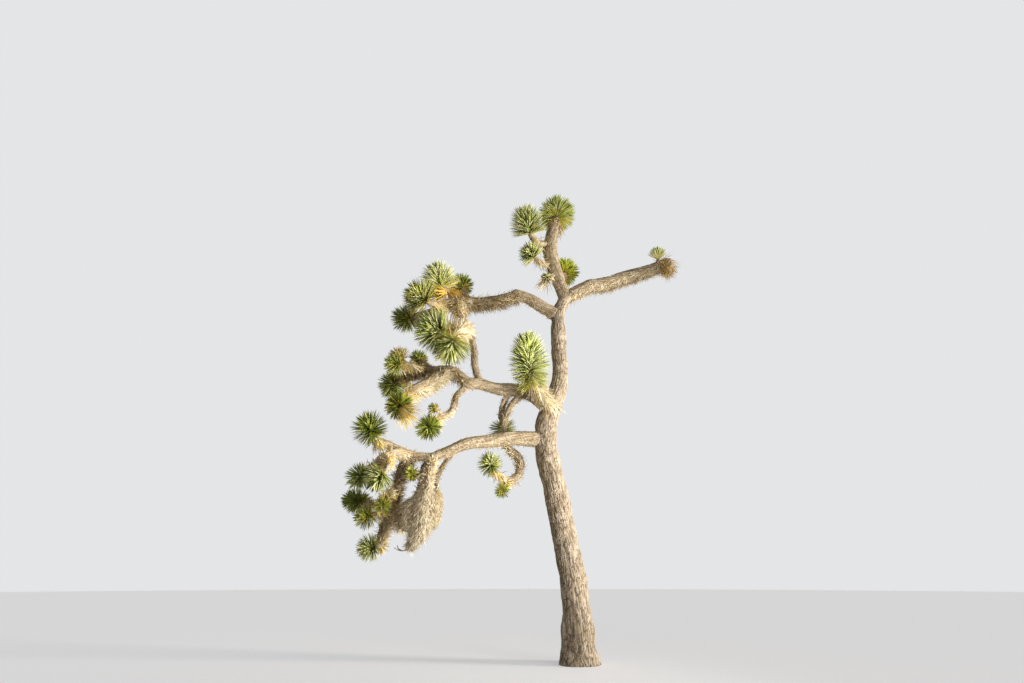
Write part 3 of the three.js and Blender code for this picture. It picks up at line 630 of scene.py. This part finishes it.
def rule_line(growth, lines):
    """The centre line of a limb, rosette or skirt, from its place on its parent through its way."""
    points = [np.array(point, float) for point in growth["way"]]
    if "on" in growth:
        parent, share = growth["on"]
        points.insert(0, lines[parent].place(share * lines[parent].length)[0][0])
    if len(points) < 3:
        points.insert(1, (points[0] + points[1]) / 2)
    return Line(through(points))


def ring_frames(direction):
    """Two directions across each ring of a tube, which turn as little as they can along it."""
    across = FIRST_ACROSS
    rows = []
    for ahead in direction:
        across = unit(across - ahead * (across @ ahead))
        rows.append(across)
    across = np.array(rows)
    return across, np.cross(direction, across)


def round_line(along, turn):
    """The directions out of a line that runs along, turned about it from where a leaf starts."""
    start = unit(np.cross(FIRST_ACROSS, along))
    aside = np.cross(along, start)
    return start * np.cos(turn)[:, None] + aside * np.sin(turn)[:, None]


LINES = {}
for limb_name, limb in LIMBS.items():
    LINES[limb_name] = rule_line(limb, LINES)
MASS_LINES = {name: rule_line(mass, LINES) for name, mass in {**ROSETTES, **SKIRTS}.items()}


def limb_radius(name, at):
    """A limb's radius at distances along it, with the swelling at its root."""
    limb = LIMBS[name]
    length = LINES[name].length
    radius = evenly(limb["radius"], at / length)
    if "on" not in limb:
        return radius + FLARE * np.exp(-at / FLARE_HEIGHT)
    if limb["on"][1] < CARRIES_ON:
        first = limb["radius"][0]
        return radius + COLLAR * first * np.exp(-at / first)
    return radius


def eased(values, width):
    """Rows of values evened out over a number of them, with the first and last kept."""
    reach = width // 2
    padded = np.pad(values, [(reach, reach)] + [(0, 0)] * (values.ndim - 1), "reflect", reflect_type="odd")
    return sum(padded[i:i + len(values)] for i in range(2 * reach + 1)) / (2 * reach + 1)


def bark_course(name):
    """The line and the rings of a limb's bark. A limb that carries its parent on starts a little way
    back inside it and leaves it without a corner. Any other starts inside its parent's bark."""
    line = LINES[name]
    parent, share = LIMBS[name].get("on", (None, 0))
    if parent is None:
        return line, np.arange(0, line.length, TRUNK_GRID), lambda at: limb_radius(name, at)
    grid = TRUNK_GRID if name.endswith("trunk") else BOUGH_GRID
    root = share * LINES[parent].length
    if share < CARRIES_ON:
        start = START_INSIDE * limb_radius(parent, root)
        return line, np.arange(start, line.length, grid), lambda at: limb_radius(name, at)
    back = LINES[parent].place(np.arange(root - RUN_IN, root, RUN_STEP))[0]
    forth = line.place(np.arange(0, line.length, RUN_STEP))[0]
    course = Line(eased(np.vstack([back, forth, line.points[-1]]), RUN_EASE))

    def radius(at):
        past = at - RUN_IN
        inside = limb_radius(parent, root + past) - RUN_SINK
        return np.where(past < 0, np.minimum(inside, limb_radius(name, 0 * past)), limb_radius(name, past))

    return course, np.arange(0, course.length, grid), radius


def bark_relief(bare, spokes, at, radius, columns, plate, depth, seed):
    """How far bark stands out of each corner of a bare tube, and how much of the corner takes the
    plates' pale colour: less in its cracks and low furrows, partly the bark's own darker colour there
    and partly painted shade.
    Each of the patterns in it has a seed of its own."""
    sides = bare.shape[1]
    round_size, along_size = [size * plate[0] for size in WANDER_SIZES]
    u = np.arange(sides) / sides * columns + WANDER * (ripple(bare, round_size, seed) - 0.5)
    v = at[:, None] / plate[1] + WANDER * (ripple(bare, along_size, seed + 11) - 0.5)
    open_crack, own = plates(u, v, columns, seed)
    opening = soften(2 * ripple(bare, 2 * plate[0], seed + 5) - 0.4)
    gape = CRACK_SHARE * (CLOSED_SHARE + (1 - CLOSED_SHARE) * opening)
    on_plate = soften(open_crack / gape)
    size, short = FURROW
    furrow = ripple(spokes + [0, 0, short] * at[:, None, None], size, seed + 23)
    swelling = ripple(bare, SWELLING_SIZE, seed + 37) - 0.5
    level = CRACK_DEPTH * (on_plate - 1) + PLATE_LEVELS * (own - 0.5) * on_plate
    height = depth * (level + FURROW_DEPTH * (furrow - FURROW_LEVEL))
    height += SWELLING * radius[:, None] * swelling
    # The plates' colour share falls in the cracks and low furrows: partly the bark's own darker colour,
    # partly painted shade
    return height, on_plate * (FURROW_PALE + (1 - FURROW_PALE) * soften(2.2 * furrow - 0.4))


def bark_tube(line, at, radius, grid, plate, depth, seed):
    """A closed tube of bark round a line: plates between cracks, each with a level of its own, over
    slow swellings. Returns its corners, its triangles, their places on the unrolled bark and how
    much of each corner is plate."""
    last = radius[-1]
    at = np.concatenate([at, at[-1] + last * np.array(END_STEPS)])
    radius = np.concatenate([radius, last * np.array(END_SHARES)])
    centre, along = line.place(at)
    across, aside = ring_frames(along)
    girth = 2 * math.pi * radius[:-len(END_STEPS)].mean()
    sides = max(FEWEST_SIDES, round(girth / grid))
    columns = max(FEWEST_COLUMNS, round(girth / plate[0]))
    turn = 2 * math.pi * np.arange(sides) / sides
    outward = across[:, None] * np.cos(turn)[:, None] + aside[:, None] * np.sin(turn)[:, None]
    spokes = outward * radius[:, None, None]
    bare = centre[:, None] + spokes
    height, on_plate = bark_relief(bare, spokes, at, radius, columns, plate, depth, seed)
    points = bare + outward * height[..., None]
    points = np.vstack([points.reshape(-1, 3), centre[0] - along[0] * FOOT_DEPTH * radius[0], centre[-1]])

    i, j = np.meshgrid(np.arange(len(at) - 1), np.arange(sides), indexing="ij")
    i, j = i.ravel(), j.ravel()
    first, after = i * sides + j, i * sides + (j + 1) % sides
    quads = np.stack([first, after, after + sides, first + sides], -1)
    wide = girth / sides
    places = np.stack([np.stack([wide * (j + dj), at[i + di]], -1) for di, dj in QUAD_CORNERS], 1)
    j = np.arange(sides)
    foot, tip = len(points) - 2, len(points) - 1
    top = (len(at) - 1) * sides
    foot_fan = np.stack([(j + 1) % sides, j, np.full(sides, foot)], -1)
    tip_fan = np.stack([top + j, top + (j + 1) % sides, np.full(sides, tip)], -1)
    faces = np.vstack([quads[:, [0, 1, 2]], quads[:, [0, 2, 3]], foot_fan, tip_fan])
    ends = [np.stack([np.stack([wide * (j + dj), np.full(sides, level)], -1) for dj in (0, 1, 0.5)], 1)
            for level in (at[0], at[-1])]
    places = np.vstack([places[:, [0, 1, 2]], places[:, [0, 2, 3]], *ends])
    return points, faces, places, np.append(on_plate.ravel(), (0, 1))


def level_foot(points, faces):
    """Sets the fan of triangles that closes the trunk's foot flat on the ground."""
    middle = len(points) - 2
    fan = faces[(faces == middle).any(axis=1)]
    points[np.unique(fan), 2] = 0


def together(parts):
    """Several sets of corners and triangles, with what goes with them, as one."""
    first = np.cumsum([0] + [len(part[0]) for part in parts])
    faces = np.vstack([part[1] + start for part, start in zip(parts, first)])
    rest = [np.concatenate(column) for column in list(zip(*parts))[2:]]
    return [np.vstack([part[0] for part in parts]), faces, *rest]


def blades(root, along, face, length, width, bow, thickness, form):
    """Leaves as slim keeled daggers: a flat upper side that looks to face, a keel under it and a
    sharp tip that bends away from face by bow. Each row of the arrays is one leaf."""
    side = np.cross(along, face)
    corners = []
    for share, wide in form:
        middle = root + along * (share * length)[:, None] - face * (bow * length * share**2)[:, None]
        half = side * (0.5 * wide * width)[:, None]
        corners += [middle - half, middle + half, middle - face * (wide * thickness)]
    corners.append(root + along * length[:, None] - face * (bow * length)[:, None])
    edges = ((0, 1), (1, 2), (2, 0))
    last = 3 * len(form) - 3
    pattern = [(0, 2, 1)]
    for k in range(0, last, 3):
        for a, b in edges:
            pattern += [(k + a, k + b, k + 3 + b), (k + a, k + 3 + b, k + 3 + a)]
    pattern += [(last + a, last + b, last + 3) for a, b in edges]
    points = np.stack(corners, 1)
    faces = np.arange(len(points))[:, None, None] * points.shape[1] + np.array(pattern)
    return points.reshape(-1, 3), faces.reshape(-1, 3)


def upper_side(along, wanted):
    """The direction closest to wanted that is square to a leaf."""
    return unit(wanted - along * np.sum(along * wanted, -1, keepdims=True))


def leaning(along, outward, lean):
    """Directions that lean from along to outward by an angle each."""
    return along * np.cos(lean)[:, None] + outward * np.sin(lean)[:, None]


def strayed(random, direction, amount):
    return unit(direction + random.normal(0, amount, direction.shape))


def any_turn(random, along):
    """Directions out of a line that runs along, each at any turn about it."""
    return round_line(along, random.uniform(0, 2 * math.pi, len(along)))


def limb_balls():
    """Balls that fill every limb, as centres and squares of radii, for leaves to keep out of."""
    centres, squares = [], []
    for name, line in LINES.items():
        at = np.arange(0, line.length, BALL_STEP)
        centres.append(line.place(at)[0])
        squares.append((BALL_SHARE * limb_radius(name, at)) ** 2)
    return np.concatenate(centres), np.concatenate(squares)


BALLS = limb_balls()


def clear_of_limbs(points):
    free = np.ones(len(points), bool)
    for centre, square in zip(*BALLS):
        free &= np.sum((points - centre) ** 2, -1) > square
    return free


class Sprays:
    """Leaves of one kind, gathered by tint until they are made into pieces."""

    def __init__(self, form, thickness):
        self.form = form
        self.thickness = thickness
        self.leaves = {}

    def deal(self, random, tints, shares, *columns):
        """Gives each leaf one of the tints by chance. The columns are what blades() takes first."""
        drawn = random.choice(len(tints), len(columns[0]), p=shares)
        for number, tint in enumerate(tints):
            chosen = drawn == number
            self.leaves.setdefault(tint, []).append([column[chosen] for column in columns])

    def deal_dead(self, random, tints, kind, root, direction, outward, length, coarse=1):
        """Gives dead leaves their widths, bows and tints by chance. They lie with a side outward."""
        width = coarse * kind["width"] * random.uniform(*kind["widths"], len(root))
        bow = random.uniform(*kind["bows"], len(root))
        face = upper_side(direction, outward)
        self.deal(random, tints, kind["shares"], root, direction, face, length, width, bow)

    def grown(self, tint):
        """The corners and triangles of the leaves of a tint that keep clear of the limbs."""
        columns = [np.concatenate(column) for column in zip(*self.leaves[tint])]
        root, whole = columns[0], columns[1] * columns[3][:, None]
        free = clear_of_limbs(root + whole * CLEAR_SHARE) & clear_of_limbs(root + whole)
        return blades(*[column[free] for column in columns], self.thickness, self.form)


def grow_green(rosette, line, random, green):
    """A spiral of green leaves that lean out more and more from the tip backwards, on a ball or a
    column."""
    reach, column = rosette["reach"], rosette.get("column", 0)
    count = round(FULL_COUNT * (reach / FULL_REACH) ** COUNT_POWER * (1 + column / reach))
    age = (np.arange(count) + 0.5) / count
    turn = np.arange(count) * GOLDEN_ANGLE + random.uniform(0, LOOSE_TURN, count)
    lowest = math.radians(rosette.get("lowest", LOWEST_LEAN))
    lean = np.arccos(1 - age * (1 - math.cos(lowest)))
    down_column = column * age
    down_stem = ROOT_SPREAD * reach * age
    along = line.place(line.length - down_column)[1]
    outward = round_line(along, turn)
    direction = strayed(random, leaning(along, outward, lean), LEAF_STRAY)
    grown_up = TIP_SIZE + (1 - TIP_SIZE) * soften(age / TIP_AGE)
    size = reach * random.uniform(*LEAF_SIZES, count) * grown_up
    length = down_stem * np.cos(lean) + np.sqrt(size**2 - (down_stem * np.sin(lean)) ** 2)
    inside = ROOT_DEPTH * rosette["stem"]
    root = line.place(line.length - down_column - down_stem)[0] + direction * inside
    up = upper_side(direction, along * np.sin(lean)[:, None] - outward * np.cos(lean)[:, None])
    wide = 1 - WIDTH_BY_REACH + WIDTH_BY_REACH * reach / FULL_REACH
    width = LEAF_WIDTH * random.uniform(*LEAF_WIDTHS, count) * wide
    bow = random.uniform(0, LEAF_BOW, count) + AGE_BOW * age
    columns = (root, direction, up, length - inside, width, bow)
    young = age + random.normal(0, OLD_STRAY, count) < OLD_FROM
    first, second, third = rosette["tints"].split()
    # The fourth tint's leaves are painted shade, for the shade between leaves, unless the rosette gives an
    # inner tint
    tints = (first, second, third, rosette.get("inner", "deep"))
    green.deal(random, tints, GREEN_SHARES, *[value[young] for value in columns])
    green.deal(random, (first, third, "yellowed"), OLD_SHARES, *[value[~young] for value in columns])


def fold_dead(rosette, line, random, dead):
    """Dead leaves under the green ones, which are folded back along the stem and sag."""
    kind = OLD_LEAVES["folded"]
    count = DEAD_SPRAY * rosette["dead"] + FEWEST_DEAD if rosette["dead"] else 0
    foot = line.length - rosette.get("column", 0) - rosette["reach"] * CORE_SHARE
    at = foot * (DEAD_TOP - DEAD_SPAN * random.uniform(0, 1, count) ** DEAD_CROWDING)
    at = np.maximum(LEAST_START, at)
    point, along = line.place(at)
    outward = any_turn(random, along)
    direction = leaning(along, outward, DEAD_LEAN + random.normal(0, kind["lean_stray"], count))
    direction[:, 2] -= SAG * random.uniform(*kind["sag"], count)
    direction = strayed(random, direction, kind["stray"])
    length = rosette["reach"] * random.uniform(*kind["sizes"], count)
    root = point + outward * (kind["root"] * rosette["stem"])
    mix = DEAD_MIXES[rosette.get("old", "straw")]
    dead.deal_dead(random, mix, kind, root, direction, outward, length)


def hang_dead(rosette, line, random, dead):
    """Dead leaves that hang from a rosette's middle or from its stem."""
    kind, hanging = OLD_LEAVES["hanging"], rosette["hanging"]
    inside = ROOT_DEPTH * rosette["stem"]
    count = HANGING_SPRAY * hanging["leaves"]
    to = np.tile(unit(np.array(hanging["to"], float)), (count, 1))
    outward = any_turn(random, to)
    direction = leaning(to, outward, HANGING_LEAN * np.sqrt(random.uniform(0, kind["spread"], count)))
    length = hanging["reach"] * random.uniform(*kind["sizes"], count) - inside
    root = line.place(np.full(count, line.length * hanging.get("at", 1)))[0] + direction * inside
    mix = DEAD_MIXES[rosette.get("old", "straw")]
    dead.deal_dead(random, mix, kind, root, direction, outward, length)


def grow_rosette(name, green, dead):
    """A rosette's green leaves, and the dead ones that are folded back under them or hang."""
    rosette, line = ROSETTES[name], MASS_LINES[name]
    random = np.random.default_rng(seed_of(name))
    grow_green(rosette, line, random, green)
    fold_dead(rosette, line, random, dead)
    if "hanging" in rosette:
        hang_dead(rosette, line, random, dead)


def grow_skirt(name, dead):
    """A skirt of dead leaves that hang from its limb, thick enough to hide it."""
    skirt, line, kind = SKIRTS[name], MASS_LINES[name], OLD_LEAVES["skirt"]
    random = np.random.default_rng(seed_of(name))
    coarse, blade = skirt["coarse"], skirt["blade"]
    area = line.length * 2 * math.pi * np.mean(skirt["radius"])
    count = round(SKIRT_LEAVES / coarse * SKIRT_BLADE / blade * area)
    share = random.uniform(*kind["starts"], count)
    point, along = line.place(share * line.length)
    outward = any_turn(random, along)
    direction = kind["ahead"] * along + outward * random.uniform(*kind["out"], count)[:, None]
    direction[:, 2] -= kind["sag"] * SAG
    direction = strayed(random, direction, kind["stray"])
    length = blade * random.uniform(*kind["sizes"], count)
    inside = evenly(skirt["radius"], share) * random.uniform(*kind["roots"], count)
    root = point + outward * inside[:, None]
    tints = (*skirt["tints"].split(), "weathered")
    dead.deal_dead(random, tints, kind, root, direction, outward, length, coarse)


def grow_thatch(name, dead):
    """Old leaves that lie back along a limb and droop, more of them under it than over it."""
    to_a_metre, size, under, tint = THATCH[name]
    kind = OLD_LEAVES["thatch"]
    random = np.random.default_rng(seed_of(name) + 1)
    on_stem = name in ROSETTES
    line = MASS_LINES[name] if on_stem else LINES[name]
    length = line.length
    if on_stem:
        length -= ROSETTES[name].get("column", 0) + CORE_SHARE * ROSETTES[name]["reach"]
    count = round(to_a_metre * length)
    at = length * random.uniform(*kind["starts"], count)
    point, along = line.place(at)
    outward = any_turn(random, along)
    upper = (outward[:, 2] > 0) & (random.uniform(0, 1, count) < under)
    outward[upper] *= -1
    direction = kind["ahead"] * along + outward * random.uniform(*kind["out"], count)[:, None]
    direction[:, 2] -= random.uniform(*kind["sag"], count)
    direction = strayed(random, direction, kind["stray"])
    radius = np.full(count, ROSETTES[name]["stem"]) if on_stem else limb_radius(name, at)
    root = point + outward * (kind["root"] * radius)[:, None]
    others = [other for other in THATCH_MIX if other != tint][:3]
    length = size * random.uniform(*kind["sizes"], count)
    dead.deal_dead(random, (tint, *others), kind, root, direction, outward, length)


def stem_tube(name):
    """The stem of a rosette, or the dark middle of a skirt, under its leaves."""
    line, seed = MASS_LINES[name], seed_of(name) % BARK_SEEDS
    if name in SKIRTS:
        at = np.arange(0, line.length, STEM_GRID)
        radius = SKIRT_MIDDLE * evenly(SKIRTS[name]["radius"], at / line.length)
    else:
        rosette = ROSETTES[name]
        reach = rosette["reach"]
        at = np.arange(0, line.length - STEM_END * reach, STEM_GRID)
        foot = line.length - rosette.get("column", 0) - reach * CORE_SHARE
        thick = rosette["stem"] * (1 + 0.5 * COLLAR_OF_DEAD * np.minimum(1, at / max(foot, 0.05)))
        radius = STEM_SHARE * np.minimum(thick, STEM_MOST * CORE_SHARE * reach)
        radius = radius * (1 - STEM_TAPER * soften((at - foot) / (line.length - foot)))
    return bark_tube(line, at, radius, STEM_GRID, STEM_PLATE, STEM_DEPTH, seed)


def bare_twig():
    """The thin bare twig that sticks out under the big skirt, with its one fork."""
    tubes = []
    for number, way in enumerate(BARE_TWIG):
        line = Line(through([np.array(point, float) for point in way]))
        at = np.arange(0, line.length, 1.5 * TWIG_GRID)
        radius = TWIG_RADIUS * (1 - TWIG_TAPER * at / line.length)
        tubes.append(bark_tube(line, at, radius, TWIG_GRID, TWIG_PLATE, TWIG_DEPTH, number))
    return together(tubes)


def put(name, data):
    """A new object in the scene."""
    thing = bpy.data.objects.new(name, data)
    bpy.context.scene.collection.objects.link(thing)
    return thing


def mesh_piece(name, points, faces, smooth):
    mesh = bpy.data.meshes.new(name)
    mesh.vertices.add(len(points))
    mesh.vertices.foreach_set("co", points.astype(np.float32).ravel())
    mesh.loops.add(faces.size)
    mesh.loops.foreach_set("vertex_index", faces.astype(np.int32).ravel())
    mesh.polygons.add(len(faces))
    mesh.polygons.foreach_set("loop_start", np.arange(0, faces.size, 3, dtype=np.int32))
    mesh.polygons.foreach_set("use_smooth", np.full(len(faces), smooth))
    mesh.update(calc_edges=True)
    return put(name, mesh)


def bark_piece(name, points, faces, places, on_plate):
    """A piece of bark, which also carries the unrolled bark's map and where it is plate."""
    piece = mesh_piece(name, points, faces, True)
    unrolled = piece.data.uv_layers.new(name="unrolled")
    unrolled.uv.foreach_set("vector", places.astype(np.float32).ravel())
    level = piece.data.attributes.new("on_plate", "FLOAT", "POINT")
    level.data.foreach_set("value", on_plate.astype(np.float32))
    return piece


def hand_over(piece, material, replaced):
    piece.data.materials.append(material)
    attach(piece, "root")
    if replaced:
        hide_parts(*replaced)


def linear(tint):
    """A colour from 0 to 255 as the shaders take it."""
    return (*[(value / 255) ** GAMMA for value in tint], 1)


def connect(tree, node, inputs):
    """Sets a node's inputs to values or to other nodes' outputs."""
    for key, value in inputs.items():
        if isinstance(value, bpy.types.NodeSocket):
            tree.links.new(value, node.inputs[key])
        else:
            node.inputs[key].default_value = value


def add_node(tree, kind, inputs=(), **settings):
    """The outputs of a new shader node with the given settings and inputs."""
    node = tree.nodes.new("ShaderNode" + kind)
    for key, value in settings.items():
        setattr(node, key, value)
    connect(tree, node, dict(inputs))
    return node.outputs


def noise(tree, where, scale, detail, roughness=0.5):
    return add_node(tree, "TexNoise", {
        "Vector": where, "Scale": scale, "Detail": detail, "Roughness": roughness})["Fac"]


def spread(tree, value, low, high):
    """A noise value, or a yes or no, set between low and high."""
    return add_node(tree, "MapRange", {
        "Value": value, "From Min": NOISE_LOW, "From Max": NOISE_HIGH, "To Min": low, "To Max": high,
    })["Result"]


def surface_group(name, tints):
    """A shader group that takes tints and gives a colour, a roughness and a height."""
    group = bpy.data.node_groups.new(name, "ShaderNodeTree")
    for tint in tints:
        group.interface.new_socket(tint, in_out="INPUT", socket_type="NodeSocketColor")
    for socket, kind in (("Colour", "Color"), ("Roughness", "Float"), ("Height", "Float")):
        group.interface.new_socket(socket, in_out="OUTPUT", socket_type="NodeSocket" + kind)
    return group, group.nodes.new("NodeGroupInput").outputs, group.nodes.new("NodeGroupOutput")


def weathered_bark():
    """Corky bark: pale plates with fibres that run along the limb, dark cracks that are partly painted
    shade, and slow patches.
    """
    group, given, gives = surface_group("weathered_bark", ("Plate", "Crack"))
    here = add_node(group, "TexCoord")["Object"]
    unrolled = add_node(group, "UVMap", uv_map="unrolled")["UV"]
    stretched = add_node(group, "Mapping", {"Vector": unrolled, "Scale": FIBRE_SCALE})["Vector"]
    fibre = noise(group, stretched, scale=1, detail=5, roughness=0.62)
    grain = noise(group, here, scale=170, detail=3)
    patch = noise(group, here, scale=9, detail=6)
    patched = add_node(group, "HueSaturation", {
        "Color": given["Plate"], "Value": spread(group, patch, 0.72, 1.2),
        "Saturation": spread(group, patch, 1.15, 0.85)})["Color"]
    on_plate = add_node(group, "Attribute", attribute_name="on_plate")["Fac"]
    cracked = add_node(group, "Mix", {
        MIX_SHARE: on_plate, MIX_FIRST: given["Crack"], MIX_SECOND: patched}, data_type="RGBA")[MIX_RESULT]
    streaked = add_node(group, "HueSaturation", {
        "Color": cracked, "Value": spread(group, fibre, 0.74, 1.16)})["Color"]
    connect(group, gives, {
        "Colour": streaked, "Roughness": spread(group, grain, 0.82, 0.97),
        "Height": add_node(group, "Math", {0: fibre, 1: grain}, operation="ADD")["Value"]})
    return group


def leaf_surface():
    """A leaf's skin: one tint, a little lighter and darker from place to place, faintly grained."""
    group, given, gives = surface_group("leaf_surface", ("Tint",))
    here = add_node(group, "TexCoord")["Object"]
    broad = noise(group, here, scale=11, detail=2)
    fine = noise(group, here, scale=120, detail=3)
    mottled = add_node(group, "HueSaturation", {
        "Color": given["Tint"], "Value": spread(group, broad, 0.86, 1.12),
        "Hue": spread(group, fine, 0.49, 0.51)})["Color"]
    connect(group, gives, {"Colour": mottled, "Roughness": spread(group, fine, 0.42, 0.62), "Height": fine})
    return group


def new_material(name):
    """A material, its nodes and its Principled shader."""
    material = bpy.data.materials.new(name)
    material.use_nodes = True
    return material, material.node_tree, material.node_tree.nodes["Principled BSDF"]


def finish_material(name, group, tints, relief, gloss):
    """A material whose colour, roughness and bump come from a group with its own tints."""
    material, tree, surface = new_material(name)
    colours = {tint: linear(colour) for tint, colour in tints.items()}
    pattern = add_node(tree, "Group", colours, node_tree=group)
    bump = add_node(tree, "Bump", {"Strength": BUMP, "Distance": relief, "Height": pattern["Height"]})
    connect(tree, surface, {
        "Base Color": pattern["Colour"], "Roughness": pattern["Roughness"], "Normal": bump["Normal"],
        "Specular IOR Level": gloss})
    return material


def add_floor():
    """A wide, plain pale floor at ground level, cut as a disc."""
    turn = np.linspace(0, 2 * math.pi, FLOOR_SIDES, endpoint=False)
    rim = FLOOR_RADIUS * np.stack([np.cos(turn), np.sin(turn), 0 * turn], -1)
    points = np.vstack([rim, [0, 0, 0]]) - np.array([0, 0, FLOOR_DROP])
    j = np.arange(FLOOR_SIDES)
    faces = np.stack([j, (j + 1) % FLOOR_SIDES, np.full(FLOOR_SIDES, len(rim))], -1)
    floor = mesh_piece("floor", points, faces, False)
    paper, tree, surface = new_material("pale_floor")
    grain = add_node(tree, "TexNoise", {"Scale": 3, "Detail": 2})["Fac"]
    seen = add_node(tree, "LightPath")["Is Camera Ray"]
    connect(tree, surface, {
        "Base Color": FLOOR_COLOUR, "Roughness": spread(tree, grain, 0.78, 0.88),
        "Specular IOR Level": 0, "Emission Color": GLOW_COLOUR,
        "Emission Strength": spread(tree, seen, 0, FLOOR_GLOW)})
    floor.data.materials.append(paper)


def add_light(name, kind, back, **settings):
    """A warm light, with the direction that its back looks to and its settings."""
    lamp = bpy.data.lights.new(name, kind)
    for key, value in settings.items():
        setattr(lamp, key, value)
    lamp.color = WARM_WHITE
    light = put(name, lamp)
    light.rotation_euler = back.to_track_quat("Z", "Y").to_euler()
    return light


def add_studio():
    """Pale even surroundings, a low key light from the right, and a soft box low in front on the
    right, which lights the undersides."""
    world = bpy.data.worlds.new("studio")
    world.use_nodes = True
    tree = world.node_tree
    seen = add_node(tree, "LightPath")["Is Camera Ray"]
    connect(tree, tree.nodes["Background"], {
        "Color": STUDIO_COLOUR, "Strength": spread(tree, seen, SURROUND, BACKGROUND)})
    bpy.context.scene.world = world
    add_light("key", "SUN", Vector(KEY_FROM), energy=KEY_POWER, angle=KEY_ANGLE)
    box = add_light(
        "soft_box", "AREA", Vector(BOX_PLACE) - Vector(BOX_TOWARDS),
        energy=BOX_POWER, size=BOX_SIZE, spread=BOX_SPREAD)
    box.location = BOX_PLACE
    box.visible_camera = False


def add_camera():
    """Low in front of the tree and looking up at it, as in the photograph."""
    camera = put("camera", bpy.data.cameras.new("camera"))
    camera.data.lens = CAMERA_LENS
    camera.data.sensor_width = CAMERA_SENSOR
    camera.location = CAMERA_PLACE
    camera.rotation_euler = (math.pi / 2 + CAMERA_PITCH, 0, -CAMERA_YAW)
    bpy.context.scene.camera = camera


def add_bark():
    pattern = weathered_bark()
    materials = {
        slot: finish_material(slot, pattern, {"Plate": plate, "Crack": crack}, BARK_GRAIN, BARK_GLOSS)
        for slot, (plate, crack) in BARK_TINTS.items()}
    for name, (limbs, grid, plate, depth, slot) in BARKS.items():
        tubes = []
        for limb in limbs:
            line, at, radius = bark_course(limb)
            smooth = eased(radius(at), RADIUS_EASE)
            tubes.append(bark_tube(line, at, smooth, grid, plate, depth, seed_of(limb) % BARK_SEEDS))
        points, faces, places, on_plate = together(tubes)
        if name == "bark_of_trunk":
            level_foot(points, faces)
        hand_over(bark_piece(name, points, faces, places, on_plate), materials[slot], limbs)
    masses = (*ROSETTES, *SKIRTS)
    stems = bark_piece("rosette_stems", *together([stem_tube(name) for name in masses]))
    hand_over(stems, materials["bough_bark"], masses)
    hand_over(bark_piece("bare_twig", *bare_twig()), materials["bough_bark"], ())


def add_leaves():
    green = Sprays(LEAF_FORM, LEAF_THICKNESS)
    dead = Sprays(LEAF_FORM, DEAD_THICKNESS)
    thatch, skirts = Sprays(THATCH_FORM, DEAD_THICKNESS), Sprays(THATCH_FORM, DEAD_THICKNESS)
    for name in ROSETTES:
        grow_rosette(name, green, dead)
    for name in SKIRTS:
        grow_skirt(name, skirts)
    for name in THATCH:
        grow_thatch(name, thatch)
    skin = leaf_surface()
    for kind, sprays, tints, slot, replaced, gloss in (
            ("leaves", green, LEAF_TINTS, "leaves", tuple(ROSETTES), LEAF_GLOSS),
            ("dead_leaves", dead, DEAD_TINTS, "dead_leaves", tuple(ROSETTES), DEAD_GLOSS),
            ("skirt_leaves", skirts, DEAD_TINTS, "dead_leaves", tuple(SKIRTS), DEAD_GLOSS),
            ("thatch", thatch, DEAD_TINTS, "dead_leaves", (), DEAD_GLOSS)):
        for tint in sprays.leaves:
            name = kind + "_" + tint
            material = finish_material(name, skin, {"Tint": tints[tint]}, LEAF_GRAIN, gloss)
            hand_over(mesh_piece(name, *sprays.grown(tint), False), material, replaced)


add_bark()
add_leaves()
add_floor()
add_studio()
add_camera()
bpy.context.scene.view_settings.view_transform = "Standard"
